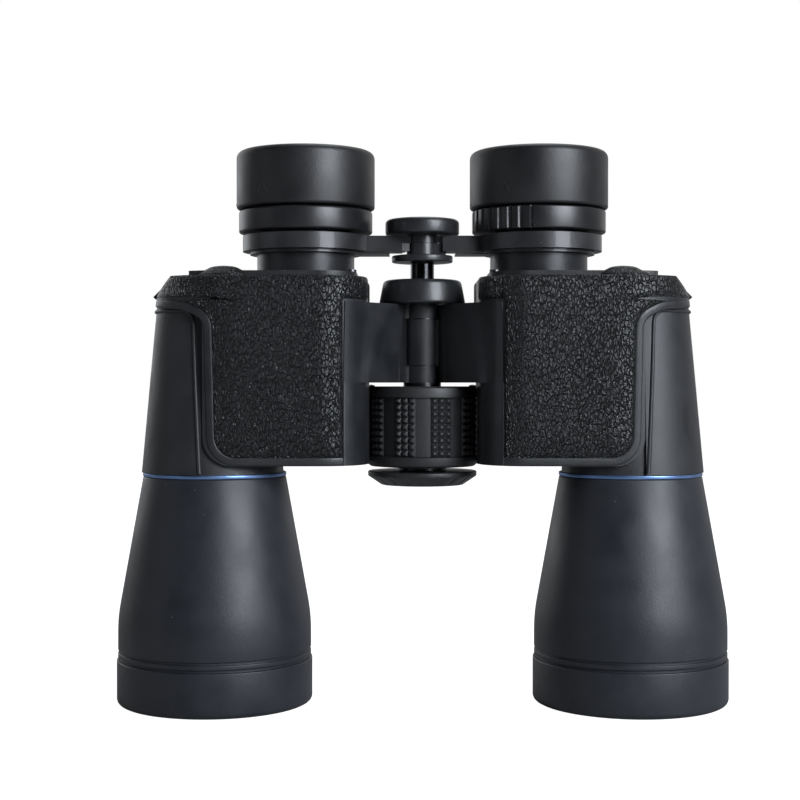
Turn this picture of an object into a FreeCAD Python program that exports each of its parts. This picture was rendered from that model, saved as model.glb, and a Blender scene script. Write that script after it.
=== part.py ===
"""Porro-prism binoculars with centre focus, standing on their two objective rims.

Frame: millimetres, +Z up along the optical axes, +X to the half that carries the dioptre
ring, -Y to the underside. The origin is on the standing plane, midway between the
objective barrels, whose axes lie in the plane Y = 0.
"""
import FreeCAD, Part
import Sketcher
import math
import os
import re

doc = FreeCAD.newDocument("Binoculars")
sheet = doc.addObject("Spreadsheet::Sheet", "Sizes")

SIZES = [
    # where the axes stand
    ("objective_axis_x", 65.2, "objective axis from the middle"),
    ("axis_y", 8.0, "hinge and eyepieces stand this far behind the objectives"),
    ("running_gap", 0.05, "radial clearance of pieces that turn or slide on each other"),
    ("seat_gap", 0.1, "clearance of pieces that sit in each other"),
    # objective barrel
    ("rim_r", 30.5, "outside of the rim band"),
    ("rim_round", 2.6, "rounding of the standing edge"),
    ("rim_height", 13.8, "rim band up to the first groove"),
    ("groove_height", 0.8, "each of the two grooves"),
    ("groove_depth", 0.6, "depth of the grooves"),
    ("bead_height", 1.5, "bead between the grooves"),
    ("rim_step", 0.4, "the barrel above the grooves is this much thinner"),
    ("band_height", 0.9, "straight band above the grooves"),
    ("flare_bend_r", 100.0, "radius of the bend into the taper"),
    ("flare_draw", 1.65, "how far the bend draws the barrel in"),
    ("flare_height", 18.2, "height of the bend"),
    ("shoulder_width", 3.6, "barrel's shoulder outside the spigot"),
    ("barrel_top_z", 70.7, "height of the barrel's shoulder"),
    ("barrel_wall", 1.8, "wall of the taper"),
    ("rim_wall", 3.5, "wall round the bore that takes the lens cell"),
    ("rim_bore_tail", 5.6, "that bore goes this far past the lenses"),
    ("spigot_r", 18.6, "spigot that screws into the housing neck"),
    ("spigot_height", 5.0, "length of the spigot above the shoulder"),
    ("spigot_wall", 1.8, "wall of the spigot"),
    # trim ring
    ("trim_proud", 0.15, "trim ring outside the barrel's shoulder"),
    ("trim_height", 1.2, "trim ring"),
    # objective lens and its cell
    ("cell_side", 1.6, "wall of the lens cell round the lenses"),
    ("lens_front_z", 8.0, "front vertex of the crown lens above the standing plane"),
    ("crown_front_sag", 2.0, "sag of the front surface"),
    ("crown_edge", 3.5, "edge thickness of the crown lens"),
    ("cement_sag", 3.5, "sag of the cemented surface"),
    ("cement_gap", 0.02, "cement layer"),
    ("flint_edge", 6.9, "edge thickness of the flint lens"),
    ("cell_wall", 1.5, "lip of the lens cell"),
    ("cell_lip_height", 3.5, "height of that lip"),
    ("retainer_height", 2.0, "threaded ring in front of the lens"),
    ("retainer_relief", 0.3, "the ring's seat, below the lens edge"),
    # prism housing
    ("housing_foot_up", 4.0, "underside of the housing"),
    ("wheel_side_gap", 0.1, "focus wheel to the housing's inner face, at the sides"),
    ("housing_side_out", 18.0, "outer shoulder"),
    ("prism_side_gap", 0.189, "eyepiece prism to the housing's front wall"),
    ("housing_wall", 2.0, "casting wall"),
    ("inner_front_corner", 14.0, "corner radius, hinge side, front"),
    ("inner_back_corner", 10.0, "corner radius, hinge side, back"),
    ("outer_corner", 22.0, "corner radius, outer side"),
    ("block_side_out", 1.3, "the block ends here below the shoulder"),
    ("foot_corner", 9.0, "rounding of the block's outer lower corner"),
    ("shoulder_over", -8.2, "underside of the shoulder"),
    ("shoulder_bevel", 6.5, "bevel of the shoulder's outer top edge"),
    ("neck_proud", 0.5, "armoured neck outside the barrel's shoulder"),
    ("neck_top_r", 17.9, "armoured neck at the shoulder"),
    ("neck_lip", 1.0, "the neck's bore is this much smaller than the spigot"),
    ("neck_wall", 3.6, "wall of the neck at the shoulder, armour included"),
    ("neck_ring_height", 2.7, "closed part of the neck inside the block"),
    ("deck_out", 6.8, "outward of this the top of the shoulder is solid"),
    ("boss_r", 3.0, "screw bosses under the top cover"),
    ("boss_height", 9.0, "screw bosses"),
    ("boss_gap", 1.884, "screw boss to the guide collar, hinge side"),
    # skins
    ("armour_wall", 1.2, "smooth armour over the neck"),
    ("armour_edge_out", 1.6, "front edge of the neck armour"),
    ("covering_wall", 0.9, "textured covering"),
    ("covering_foot_up", 6.5, "lower edge of the covering"),
    ("rim_width", 3.3, "bare rim between the covering and the block's end"),
    ("hinge_plate_width", 6.9, "bare strip between housing's inner face and covering"),
    ("tab_foot_over", -7.0, "covering above this reaches the hinge side"),
    # covers
    ("cover_wall", 1.5, "top and bottom cover plates"),
    ("cover_rise", 1.5, "raised middle of the top cover"),
    ("cover_inset", 0.9, "step from the housing's edge to the raised middle"),
    ("guide_wall", 1.75, "wall of the guide collar under the top cover"),
    ("guide_side_gap", 0.4, "guide collar to the housing's inner wall, hinge side"),
    ("guide_back_gap", 0.3, "guide collar to the housing's back wall"),
    ("guide_height", 8.0, "guide collar for the eyepiece tube"),
    ("bottom_cover_gap", 0.6, "bottom cover to the neck"),
    # screws
    ("screw_head_r", 1.7, "heads of the cover screws"),
    ("screw_head_height", 0.9, "heads of the cover screws"),
    ("screw_r", 1.0, "thread of the cover screws"),
    ("screw_length", 6.0, "thread of the cover screws"),
    # strap lug
    ("lug_width", 8.0, "strap lug, front to back"),
    ("lug_wall", 1.0, "bar of the strap lug"),
    ("lug_foot", 2.0, "each end of the bar, where it rests on the shoulder"),
    ("lug_slot_depth", 2.6, "strap slot under the bar"),
    ("lug_slot_width", 17.0, "strap slot, front to back"),
    # prisms
    ("prism_width", 16.4, "prisms, across"),
    ("prism_blunt", 2.5, "flat ground on the right-angle edge"),
    ("prism_foot_gap", 2.54, "bottom cover to the lower prism"),
    ("prism_headroom", 15.14, "upper prism to the housing's top edge"),
    ("shelf_wall", 2.0, "shelf"),
    ("shelf_window_r", 7.8, "light windows in the shelf"),
    ("shelf_end_gap", 0.353, "round end of the shelf to the neck's bore"),
    ("clip_wall", 0.6, "spring strap over a prism"),
    ("clip_width", 5.0, "spring strap over a prism"),
    # hinge
    ("knuckle_wall", 1.0, "wall of the hinge knuckles"),
    ("axle_r", 4.4, "axle inside the knuckles"),
    ("hinge_foot_over", -32.4, "lower end of the knuckles"),
    ("low_joint_over", -27.1, "joint between lower and middle knuckle"),
    ("high_joint_over", -12.2, "joint between middle and upper knuckle"),
    ("hinge_top_over", -7.8, "upper end of the knuckles"),
    ("joint_washer", 0.3, "thrust washers in the joints"),
    ("arm_gap", 1.8, "knuckle to the inner end of a hinge arm"),
    ("arm_front_y", 1.0, "inner end of the arm, front face, forward of the axes"),
    ("arm_shoulder_x", 14.0, "where the arm's front face turns"),
    ("arm_shoulder_y", 8.5, "the same corner, forward of the axes"),
    ("arm_root_y", 13.0, "arm's front face where it meets the housing"),
    ("arm_back_y", 9.5, "arm's back face, behind the hinge axis"),
    ("web_width", 6.8, "web between arm and knuckle, front to back"),
    ("axle_wall", 1.4, "wall of the axle round the focus rod"),
    ("collar_roof", 2.3, "top of the collar to the top of the axle"),
    ("spindle_wall", 1.6, "the axle's thick end, outside the axle"),
    ("socket_wall", 1.2, "wall of the axle round the tripod socket"),
    ("socket_depth", 8.0, "socket above the axle's lower end"),
    ("socket_flange_width", 1.7, "flange of the tripod socket outside the axle"),
    ("socket_flange", 1.4, "flange of the tripod socket"),
    ("tripod_thread_r", 3.175, "quarter-inch thread"),
    ("tripod_thread_depth", 8.2, "quarter-inch thread"),
    ("collar_height", 7.7, "tapered collar above the hinge"),
    ("collar_foot_r", 13.8, "tapered collar at its foot"),
    ("collar_top_r", 12.3, "tapered collar at its top"),
    ("collar_round", 1.0, "bevel of the collar's top edge"),
    # focus wheel
    ("wheel_play", 1.2, "knuckles to focus wheel"),
    ("wheel_height", 25.2, "focus wheel"),
    ("grip_wall", 2.0, "rubber grip of the focus wheel"),
    ("grip_r", 17.4, "rubber grip of the focus wheel"),
    ("grip_band", 3.4, "smooth bands above and below the grip"),
    ("grip_relief", 0.4, "grip surface below the bands"),
    ("wheel_gap", 0.7, "housing to focus wheel"),
    ("track_width", 2.0, "thread chamber round the axle, for the cross pin"),
    ("track_roof", 3.2, "wheel's upper face to the thread chamber"),
    ("track_height", 12.4, "thread chamber"),
    # focus rod and bridge
    ("shaft_step", 0.65, "the visible focus shaft is this much thinner than the axle"),
    ("shaft_entry", 1.0, "the visible part begins this far inside the axle"),
    ("rod_tail", 3.2, "end of the rod below the cross pin"),
    ("cross_pin_r", 1.2, "cross pin of the rod"),
    ("bridge_pin_step", 0.75, "the bridge's pin is this much thinner than the shaft"),
    ("washer_foot_over", 5.8, "washer under the bridge"),
    ("washer_top_over", 7.9, "washer under the bridge"),
    ("washer_r", 9.7, "washer under the bridge"),
    ("cap_foot_over", 14.5, "bridge cap"),
    ("cap_top_over", 19.4, "bridge cap"),
    ("cap_r", 11.75, "bridge cap"),
    ("cap_round", 1.0, "bevel of the bridge cap"),
    ("arm_ring_foot_over", 9.1, "bridge ring round the eyepiece"),
    ("arm_ring_top_over", 14.0, "bridge ring round the eyepiece"),
    ("arm_ring_wall", 4.55, "bridge ring round the eyepiece"),
    ("arm_flange_wall", 2.25, "flange under the bridge ring"),
    ("arm_flange", 1.0, "flange under the bridge ring"),
    ("arm_width", 10.0, "bridge arm, front to back"),
    ("arm_end_x", 6.4, "inner end of the bridge arm"),
    ("arm_plate_x", 10.4, "inner end of the thin plate under the arm"),
    ("arm_plate", 0.4, "thin plate under the arm"),
    ("bridge_knuckle_wall", 2.0, "wall of the bridge knuckles"),
    ("bridge_joint_over", 11.8, "joint between the two bridge knuckles"),
    # eyepiece
    ("tube_r", 15.45, "eyepiece tube"),
    ("tube_wall", 1.85, "wall of the eyepiece tube"),
    ("tube_foot_over", -9.5, "lower end of the eyepiece tube"),
    ("tube_top_over", 34.3, "upper end of the eyepiece tube"),
    ("ring_foot_over", 14.9, "plain ring or dioptre ring"),
    ("ring_top_over", 22.0, "plain ring or dioptre ring"),
    ("ring_wall", 5.75, "plain ring or dioptre ring"),
    ("ocular_foot_over", -7.7, "lower end of the lens cell"),
    ("ocular_top_over", 32.8, "upper end of the lens cell"),
    ("ocular_wall", 1.4, "wall of the lens cell"),
    ("ocular_lip", 1.0, "lips that hold the lenses"),
    ("field_lens_over", -4.2, "foot of the field lens"),
    ("field_lens_edge", 3.0, "edge of the field lens"),
    ("field_lens_sag", 2.4, "bulge of the field lens"),
    ("eye_lens_over", 25.8, "foot of the eye lens"),
    ("eye_lens_edge", 2.4, "edge of the eye lens"),
    ("eye_lens_sag", 2.0, "bulge of the eye lens"),
    ("eye_lip", 2.05, "the eyecup's opening is this much smaller than the tube"),
    ("sleeve_wall", 1.55, "eyecup sleeve"),
    ("sleeve_foot_over", 22.8, "eyecup sleeve"),
    ("sleeve_top_over", 39.2, "eyecup sleeve"),
    ("cup_foot_over", 22.5, "eyecup"),
    ("cup_top_over", 40.8, "eyecup"),
    ("cup_wall", 6.5, "eyecup and its sleeve, outside the tube"),
    ("cup_round", 1.6, "rounding of the eyecup's edge"),
    # tripod cap
    ("lid_height", 4.4, "scalloped cap over the tripod socket"),
    ("lid_r", 17.3, "scalloped cap over the tripod socket"),
    ("lid_rim", 1.5, "straight rim of the cap"),
    ("lid_face_r", 13.0, "flat face of the cap"),
    ("lid_stud_height", 5.5, "threaded stud of the cap"),
]
# A name's ending says where a size is counted from: up from the barrels' shoulder, over the
# housing's top edge (below it if negative), out from the objective axis. A plain z counts
# from the standing plane.
DATUMS = {"up": "barrel_top_z", "over": "housing_top_z", "out": "objective_axis_x"}

# Sizes that follow from the others.
FOLLOWS = {
    # barrel and lenses
    "barrel_r": "rim_r - rim_step",
    "flare_foot_z": "rim_height + 2 * groove_height + bead_height + band_height",
    "flare_top_r": "barrel_r - flare_draw",
    "flare_top_z": "flare_foot_z + flare_height",
    "barrel_top_r": "spigot_r + shoulder_width",
    "rim_bore_r": "rim_r - rim_wall",
    "rim_bore_top_z": "lens_front_z + crown_front_sag + crown_edge + flint_edge + rim_bore_tail",
    "spigot_bore_r": "spigot_r - spigot_wall",
    "trim_r": "barrel_top_r + trim_proud",
    "lens_r": "rim_bore_r - cell_side",
    # light path: the prisms step the axis forward and inward, then back and inward
    "prism_shift": "sqrt(((objective_axis_x - eyepiece_axis_x)^2 + axis_y^2) / 2)",
    "prism_height": "prism_shift - prism_blunt",
    "middle_x": "(objective_axis_x + eyepiece_axis_x - axis_y) / 2",
    "back_step": "(objective_axis_x - eyepiece_axis_x + axis_y) / 2",
    "forward_step": "(objective_axis_x - eyepiece_axis_x - axis_y) / 2",
    "prism_reach": "(forward_step - axis_y) / 2 + prism_width / 2"
                   " + back_step * (1 - prism_width / 2 / prism_shift)",
    # housing
    "shelf_foot_z": "housing_foot_up + cover_wall + prism_foot_gap + prism_height",
    "shelf_top_z": "shelf_foot_z + shelf_wall",
    "housing_top_z": "shelf_top_z + prism_height + prism_headroom",
    "housing_inner_x": "grip_r + wheel_side_gap",
    "housing_front_y": "prism_reach + prism_side_gap + housing_wall",
    "housing_back_y": "axis_y + guide_r + guide_back_gap + housing_wall",
    "neck_foot_z": "barrel_top_z + trim_height",
    "neck_top_z": "shoulder_over + housing_wall",
    "neck_foot_r": "barrel_top_r + neck_proud",
    "neck_bore_foot_r": "spigot_r - neck_lip",
    "neck_bore_top_r": "neck_top_r - neck_wall",
    "shelf_end_r": "neck_bore_foot_r - (neck_bore_foot_r - neck_bore_top_r)"
                   " * (shelf_top_z - neck_foot_z) / (neck_top_z - neck_foot_z)"
                   " - shelf_end_gap",
    "covering_edge_x": "housing_inner_x + hinge_plate_width",
    "guide_r": "tube_r + guide_wall",
    # hinge
    "knuckle_r": "axle_r + knuckle_wall",
    "arm_inner_x": "knuckle_r + arm_gap",
    "axle_bore_r": "axle_r - axle_wall",
    "axle_mouth_r": "shaft_r + 2 * running_gap",
    "axle_top_z": "collar_top_z - collar_roof",
    "spindle_r": "axle_r + spindle_wall",
    "spindle_foot_z": "wheel_foot_z - seat_gap",
    "socket_r": "spindle_r - socket_wall",
    "socket_flange_r": "spindle_r + socket_flange_width",
    "collar_foot_z": "hinge_top_over + 2 * seat_gap",
    "collar_top_z": "collar_foot_z + collar_height",
    # focus wheel and rod
    "wheel_top_z": "hinge_foot_over - wheel_play",
    "wheel_foot_z": "wheel_top_z - wheel_height",
    "wheel_core_r": "grip_r - grip_wall",
    "track_r": "spindle_r + track_width",
    "track_top_z": "wheel_top_z - track_roof",
    "track_foot_z": "track_top_z - track_height",
    "cross_pin_z": "track_top_z - track_height / 2",
    "rod_foot_z": "cross_pin_z - rod_tail",
    "shaft_r": "axle_r - shaft_step",
    "shaft_foot_z": "axle_top_z - shaft_entry",
    "lid_top_z": "spindle_foot_z - socket_flange - seat_gap",
    "lid_foot_z": "lid_top_z - lid_height",
    # bridge and eyepieces
    "eyepiece_axis_x": "housing_inner_x + housing_wall + guide_side_gap + guide_r",
    "bridge_pin_r": "shaft_r - bridge_pin_step",
    "bridge_knuckle_r": "bridge_pin_r + bridge_knuckle_wall",
    "arm_ring_r": "tube_r + arm_ring_wall",
    "arm_flange_r": "tube_r + arm_flange_wall",
    "tube_bore_r": "tube_r - tube_wall",
    "ocular_r": "tube_bore_r - seat_gap",
    "ring_r": "tube_r + ring_wall",
    "eye_hole_r": "tube_r - eye_lip",
    "sleeve_r": "tube_r + sleeve_wall",
    "cup_r": "tube_r + cup_wall",
}
for row, (alias, value, meaning) in enumerate(SIZES, start=1):
    sheet.set(f"A{row}", meaning)
    sheet.set(f"B{row}", str(value))
    sheet.setAlias(f"B{row}", alias)
doc.recompute()

SIDES = ("left", "right")
FUNCTIONS = ("atan", "sqrt")
nodes = []


# ---- drawing and placing --------------------------------------------------------------

def sized(text):
    """The same formula with every name worked out to the sheet's cells."""
    def point(match):
        word = match.group(0)
        if word in FUNCTIONS:
            return word
        if word in FOLLOWS:
            return f"({sized(FOLLOWS[word])})"
        datum = DATUMS.get(word.split("_")[-1])
        return f"({sized(datum)} + Sizes.{word})" if datum else "Sizes." + word
    return re.sub(r"[a-z][a-z_]*[a-z]", point, text)


def number(text):
    result = sheet.evalExpression(sized(text))
    return float(getattr(result, "Value", result))


def bind(thing, **formulas):
    for name, formula in formulas.items():
        thing.setExpression(name, sized(formula))


def put(thing, x="0", y="0", z="0"):
    """Places a thing; each coordinate is a formula."""
    thing.setExpression("Placement.Base.x", sized(x))
    thing.setExpression("Placement.Base.y", sized(y))
    thing.setExpression("Placement.Base.z", sized(z))
    return thing


def finished(thing, label):
    """Marks a thing as a piece of the binoculars, to be written out under its label."""
    thing.Label = label
    nodes.append(thing)
    return thing


def mirrored_x(side, formula):
    return formula if side == "right" else f"-({formula})"


def arc_between(start, end, bend):
    """Arc of radius |bend|; a positive bend turns left on the way, a negative one right."""
    chord = end.sub(start)
    left = FreeCAD.Vector(-chord.y, chord.x, 0).normalize()
    rise = math.sqrt(bend ** 2 - chord.Length ** 2 / 4)
    centre = start.add(chord.multiply(0.5)).add(left.multiply(math.copysign(rise, bend)))
    first, last = (start, end) if bend > 0 else (end, start)
    angles = [math.atan2(p.y - centre.y, p.x - centre.x) for p in (first, last)]
    circle = Part.Circle(centre, FreeCAD.Vector(0, 0, 1), abs(bend))
    return Part.ArcOfCircle(circle, angles[0], angles[1])


def draw(sketch, corners):
    """Closed outline; a corner is (across, up) or (across, up, bend of the side after it)."""
    points = [FreeCAD.Vector(number(c[0]), number(c[1]), 0) for c in corners]
    ends = []
    for index, corner in enumerate(corners):
        start, end = points[index], points[(index + 1) % len(points)]
        if len(corner) == 3:
            bend = number(corner[2])
            side = sketch.addGeometry(arc_between(start, end, bend))
            ends.append((side, 1, 2) if bend > 0 else (side, 2, 1))
            radius = sketch.addConstraint(Sketcher.Constraint("Radius", side, abs(bend)))
            sign = "" if bend > 0 else "-"
            sketch.setExpression(f"Constraints[{radius}]", sized(f"{sign}({corner[2]})"))
        else:
            side = sketch.addGeometry(Part.LineSegment(start, end))
            ends.append((side, 1, 2))
    for index, (side, first, last) in enumerate(ends):
        before, _, before_last = ends[index - 1]
        sketch.addConstraint(Sketcher.Constraint("Coincident", before, before_last, side, first))
        for kind, axis, place, formula in (
                ("DistanceX", -2, points[index].x, corners[index][0]),
                ("DistanceY", -1, points[index].y, corners[index][1])):
            if formula == "0":
                sketch.addConstraint(Sketcher.Constraint("PointOnObject", side, first, axis))
            else:
                held = sketch.addConstraint(Sketcher.Constraint(kind, -1, 1, side, first, place))
                sketch.setExpression(f"Constraints[{held}]", sized(formula))


def turned(name, corners):
    """A lathe-turned body: its (radius, height) outline goes once round the Z axis."""
    body = doc.addObject("PartDesign::Body", name)
    sketch = body.newObject("Sketcher::SketchObject", name + "_outline")
    plane = [f for f in body.Origin.OriginFeatures if f.Role == "XZ_Plane"][0]
    sketch.AttachmentSupport = [(plane, "")]
    sketch.MapMode = "FlatFace"
    draw(sketch, corners)
    turn = body.newObject("PartDesign::Revolution", name + "_turned")
    turn.Profile = sketch
    turn.ReferenceAxis = (sketch, ["V_Axis"])
    turn.Angle = 360
    return body


def turned_pair(name, corners, x, y):
    """The same turned piece on both halves."""
    for side in SIDES:
        body = turned(f"{side}_{name}", corners)
        finished(put(body, mirrored_x(side, x), y), f"{side}_{name}")


def flat_outline(name, corners, upright=False):
    """A loose outline lying flat, or standing in the XZ plane."""
    sketch = doc.addObject("Sketcher::SketchObject", name)
    if upright:
        sketch.Placement.Rotation = FreeCAD.Rotation(FreeCAD.Vector(1, 0, 0), 90)
    draw(sketch, corners)
    return sketch


def raised(name, outline, foot, top):
    """An outline raised from one height to another."""
    solid = doc.addObject("Part::Extrusion", name)
    solid.Base = outline
    solid.DirMode = "Custom"
    solid.Dir = FreeCAD.Vector(0, 0, 1)
    solid.Solid = True
    bind(solid, LengthFwd=f"({top}) - ({foot})")
    return put(solid, z=foot)


def grown(name, outline, distance, ring=False):
    """An outline grown outward, or the ring between the two."""
    bigger = doc.addObject("Part::Offset2D", name)
    bigger.Source = outline
    bigger.Join = "Intersection"
    bigger.Fill = ring
    bind(bigger, Value=distance)
    return bigger


def cylinder(name, radius, foot, top, x="0", y="0"):
    solid = doc.addObject("Part::Cylinder", name)
    bind(solid, Radius=radius, Height=f"({top}) - ({foot})")
    return put(solid, x, y, foot)


def cone(name, foot_radius, top_radius, foot, top, x="0", y="0"):
    solid = doc.addObject("Part::Cone", name)
    bind(solid, Radius1=foot_radius, Radius2=top_radius, Height=f"({top}) - ({foot})")
    return put(solid, x, y, foot)


def box(name, low, high):
    """A box between two corners, each three formulas."""
    solid = doc.addObject("Part::Box", name)
    spans = [f"({b}) - ({a})" for a, b in zip(low, high)]
    bind(solid, Length=spans[0], Width=spans[1], Height=spans[2])
    return put(solid, *low)


def joined(name, *solids):
    whole = doc.addObject("Part::MultiFuse", name)
    whole.Shapes = list(solids)
    return whole


def cut(name, solid, *tools):
    tool = tools[0] if len(tools) == 1 else joined(name + "_tool", *tools)
    rest = doc.addObject("Part::Cut", name)
    rest.Base = solid
    rest.Tool = tool
    return rest


def common(name, first, second):
    shared = doc.addObject("Part::Common", name)
    shared.Base = first
    shared.Tool = second
    return shared


def mirror(name, solid):
    """The same piece for the left half."""
    copy = doc.addObject("Part::Mirroring", name)
    copy.Source = solid
    copy.Normal = FreeCAD.Vector(1, 0, 0)
    return copy


def pair(name, right_piece):
    """A piece drawn for the right half, and its mirror image on the left half."""
    finished(right_piece, f"right_{name}")
    finished(mirror(f"left_{name}", right_piece), f"left_{name}")


def group(name, solids):
    """Separate solids that share one node."""
    several = doc.addObject("Part::Compound", name)
    several.Links = list(solids)
    return several


# ---- objective barrels ----------------------------------------------------------------

GROOVE_TWO = "rim_height + groove_height + bead_height"
BARREL_START = f"{GROOVE_TWO} + groove_height"

turned_pair("objective_barrel", [
    ("rim_bore_r", "0"),
    ("rim_r - rim_round", "0", "rim_round"),
    ("rim_r", "rim_round"),
    ("rim_r", "rim_height"),
    ("rim_r - groove_depth", "rim_height"),
    ("rim_r - groove_depth", "rim_height + groove_height"),
    ("barrel_r", "rim_height + groove_height"),
    ("barrel_r", GROOVE_TWO),
    ("rim_r - groove_depth", GROOVE_TWO),
    ("rim_r - groove_depth", BARREL_START),
    ("barrel_r", BARREL_START),
    ("barrel_r", "flare_foot_z", "flare_bend_r"),
    ("flare_top_r", "flare_top_z"),
    ("barrel_top_r", "barrel_top_z"),
    ("spigot_r", "barrel_top_z"),
    ("spigot_r", "barrel_top_z + spigot_height"),
    ("spigot_bore_r", "barrel_top_z + spigot_height"),
    ("spigot_bore_r", "barrel_top_z - barrel_wall"),
    ("flare_top_r - barrel_wall", "flare_top_z"),
    ("rim_bore_r", "rim_bore_top_z"),
], "objective_axis_x", "0")

turned_pair("trim_ring", [
    ("spigot_r + seat_gap", "barrel_top_z"),
    ("trim_r", "barrel_top_z"),
    ("trim_r", "barrel_top_z + trim_height"),
    ("spigot_r + seat_gap", "barrel_top_z + trim_height"),
], "objective_axis_x", "0")

# The cemented pair: crown lens in front, flint lens behind it.
CROWN_FRONT_EDGE = "lens_front_z + crown_front_sag"
CROWN_BACK_EDGE = f"{CROWN_FRONT_EDGE} + crown_edge"
FLINT_FRONT_EDGE = f"{CROWN_BACK_EDGE} + cement_gap"
FLINT_BACK = f"{CROWN_BACK_EDGE} + flint_edge"
FRONT_CURVE = "(lens_r^2 + crown_front_sag^2) / (2 * crown_front_sag)"
CEMENT_CURVE = "(lens_r^2 + cement_sag^2) / (2 * cement_sag)"

turned_pair("crown_lens", [
    ("0", "lens_front_z", FRONT_CURVE),
    ("lens_r", CROWN_FRONT_EDGE),
    ("lens_r", CROWN_BACK_EDGE, CEMENT_CURVE),
    ("0", f"{CROWN_BACK_EDGE} + cement_sag"),
], "objective_axis_x", "0")

turned_pair("flint_lens", [
    ("0", f"{FLINT_FRONT_EDGE} + cement_sag", f"-({CEMENT_CURVE})"),
    ("lens_r", FLINT_FRONT_EDGE),
    ("lens_r", FLINT_BACK),
    ("0", FLINT_BACK),
], "objective_axis_x", "0")

RETAINER_TOP = f"{CROWN_FRONT_EDGE} - retainer_relief"
CELL_LIP = f"{FLINT_BACK} + running_gap"

turned_pair("lens_cell", [
    ("lens_r + running_gap", f"{RETAINER_TOP} + running_gap"),
    ("rim_bore_r - running_gap", f"{RETAINER_TOP} + running_gap"),
    ("rim_bore_r - running_gap", f"{CELL_LIP} + cell_lip_height"),
    ("lens_r - cell_wall", f"{CELL_LIP} + cell_lip_height"),
    ("lens_r - cell_wall", CELL_LIP),
    ("lens_r + running_gap", CELL_LIP),
], "objective_axis_x", "0")

turned_pair("lens_retainer", [
    ("lens_r - cell_wall", f"{RETAINER_TOP} - retainer_height"),
    ("rim_bore_r - running_gap", f"{RETAINER_TOP} - retainer_height"),
    ("rim_bore_r - running_gap", RETAINER_TOP),
    ("lens_r - cell_wall", RETAINER_TOP),
], "objective_axis_x", "0")


# ---- prism housings, drawn for the right half -----------------------------------------

SPIGOT_END = "barrel_top_z + spigot_height + seat_gap"

BOSS_FROM_FACE = "housing_wall + 0.9 * boss_r"
INNER_BOSS_X = f"housing_inner_x + {BOSS_FROM_FACE}"
INNER_BOSS_Y = ("axis_y - sqrt((guide_r + boss_r + boss_gap)^2"
                f" - (eyepiece_axis_x - ({INNER_BOSS_X}))^2)")
SCREW_PLACES = (
    ("front", "housing_side_out - outer_corner", f"{BOSS_FROM_FACE} - housing_front_y"),
    ("back", "housing_side_out - outer_corner", f"housing_back_y - ({BOSS_FROM_FACE})"),
    ("inner", INNER_BOSS_X, INNER_BOSS_Y),
)

plan = flat_outline("housing_plan", [
    ("housing_inner_x", "inner_front_corner - housing_front_y", "inner_front_corner"),
    ("housing_inner_x + inner_front_corner", "-housing_front_y"),
    ("housing_side_out - outer_corner", "-housing_front_y", "outer_corner"),
    ("housing_side_out", "outer_corner - housing_front_y"),
    ("housing_side_out", "housing_back_y - outer_corner", "outer_corner"),
    ("housing_side_out - outer_corner", "housing_back_y"),
    ("housing_inner_x + inner_back_corner", "housing_back_y", "inner_back_corner"),
    ("housing_inner_x", "housing_back_y - inner_back_corner"),
])
inside_plan = grown("inside_plan", plan, "-housing_wall")
cover_plan = grown("cover_plan", plan, "-(housing_wall + running_gap)")
raised_plan = grown("raised_plan", plan, "-(housing_wall + cover_inset)")
skin_plan = grown("skin_plan", plan, "covering_wall", ring=True)


def beyond_shoulder(name, clearance):
    """Everything outward of the block and under the shoulder."""
    return box(name,
               (f"block_side_out + ({clearance})", "-2 * housing_front_y", "0"),
               ("2 * housing_side_out", "2 * housing_back_y", f"shoulder_over - ({clearance})"))


def below_corner(name, inset):
    """Everything outside the block's rounded lower corner, or that far inside it."""
    start = "block_side_out - foot_corner"
    middle = "housing_foot_up + foot_corner"
    outline = flat_outline(name + "_outline", [
        (start, f"housing_foot_up + ({inset})"),
        (start, "barrel_top_z"),
        ("housing_side_out", "barrel_top_z"),
        ("housing_side_out", middle),
        (f"block_side_out - ({inset})", middle, f"-(foot_corner - ({inset}))"),
    ], upright=True)
    return upright_bar(name, outline, "4 * housing_back_y")


def shoulder_bevel(name):
    """Wedge that bevels the outer top edge of the shoulder."""
    wedge = flat_outline(name + "_outline", [
        ("housing_side_out - shoulder_bevel", "housing_top_z"),
        ("housing_side_out + outer_corner", "housing_top_z"),
        ("housing_side_out + outer_corner", "housing_top_z - shoulder_bevel"),
        ("housing_side_out", "housing_top_z - shoulder_bevel"),
    ], upright=True)
    return upright_bar(name, wedge, "4 * housing_back_y")


def upright_bar(name, outline, width):
    """An outline in the XZ plane, thickened evenly to front and back."""
    solid = doc.addObject("Part::Extrusion", name)
    solid.Base = outline
    solid.DirMode = "Custom"
    solid.Dir = FreeCAD.Vector(0, 1, 0)
    solid.Solid = True
    solid.Symmetric = True
    bind(solid, LengthFwd=width)
    return solid


def lug_band(name, inset, depth, width):
    """A band along the bevel, inset from its two ends and depth thick (inward if negative)."""
    start = f"housing_side_out - shoulder_bevel + ({inset})"
    end = f"housing_top_z - shoulder_bevel + ({inset})"
    away = f"({depth}) / sqrt(2)"
    corners = [(start, f"housing_top_z - ({inset})"),
               (f"housing_side_out - ({inset})", end),
               (f"housing_side_out - ({inset}) + {away}", f"{end} + {away}"),
               (f"{start} + {away}", f"housing_top_z - ({inset}) + {away}")]
    return upright_bar(name, flat_outline(name + "_outline", corners, upright=True), width)


def beyond_deck(name, clearance):
    """The top of the shoulder, outward of the cover."""
    return box(name,
               (f"deck_out + ({clearance})", "-2 * housing_front_y", "neck_top_z"),
               ("2 * housing_side_out", "2 * housing_back_y", "2 * housing_top_z"))


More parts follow.
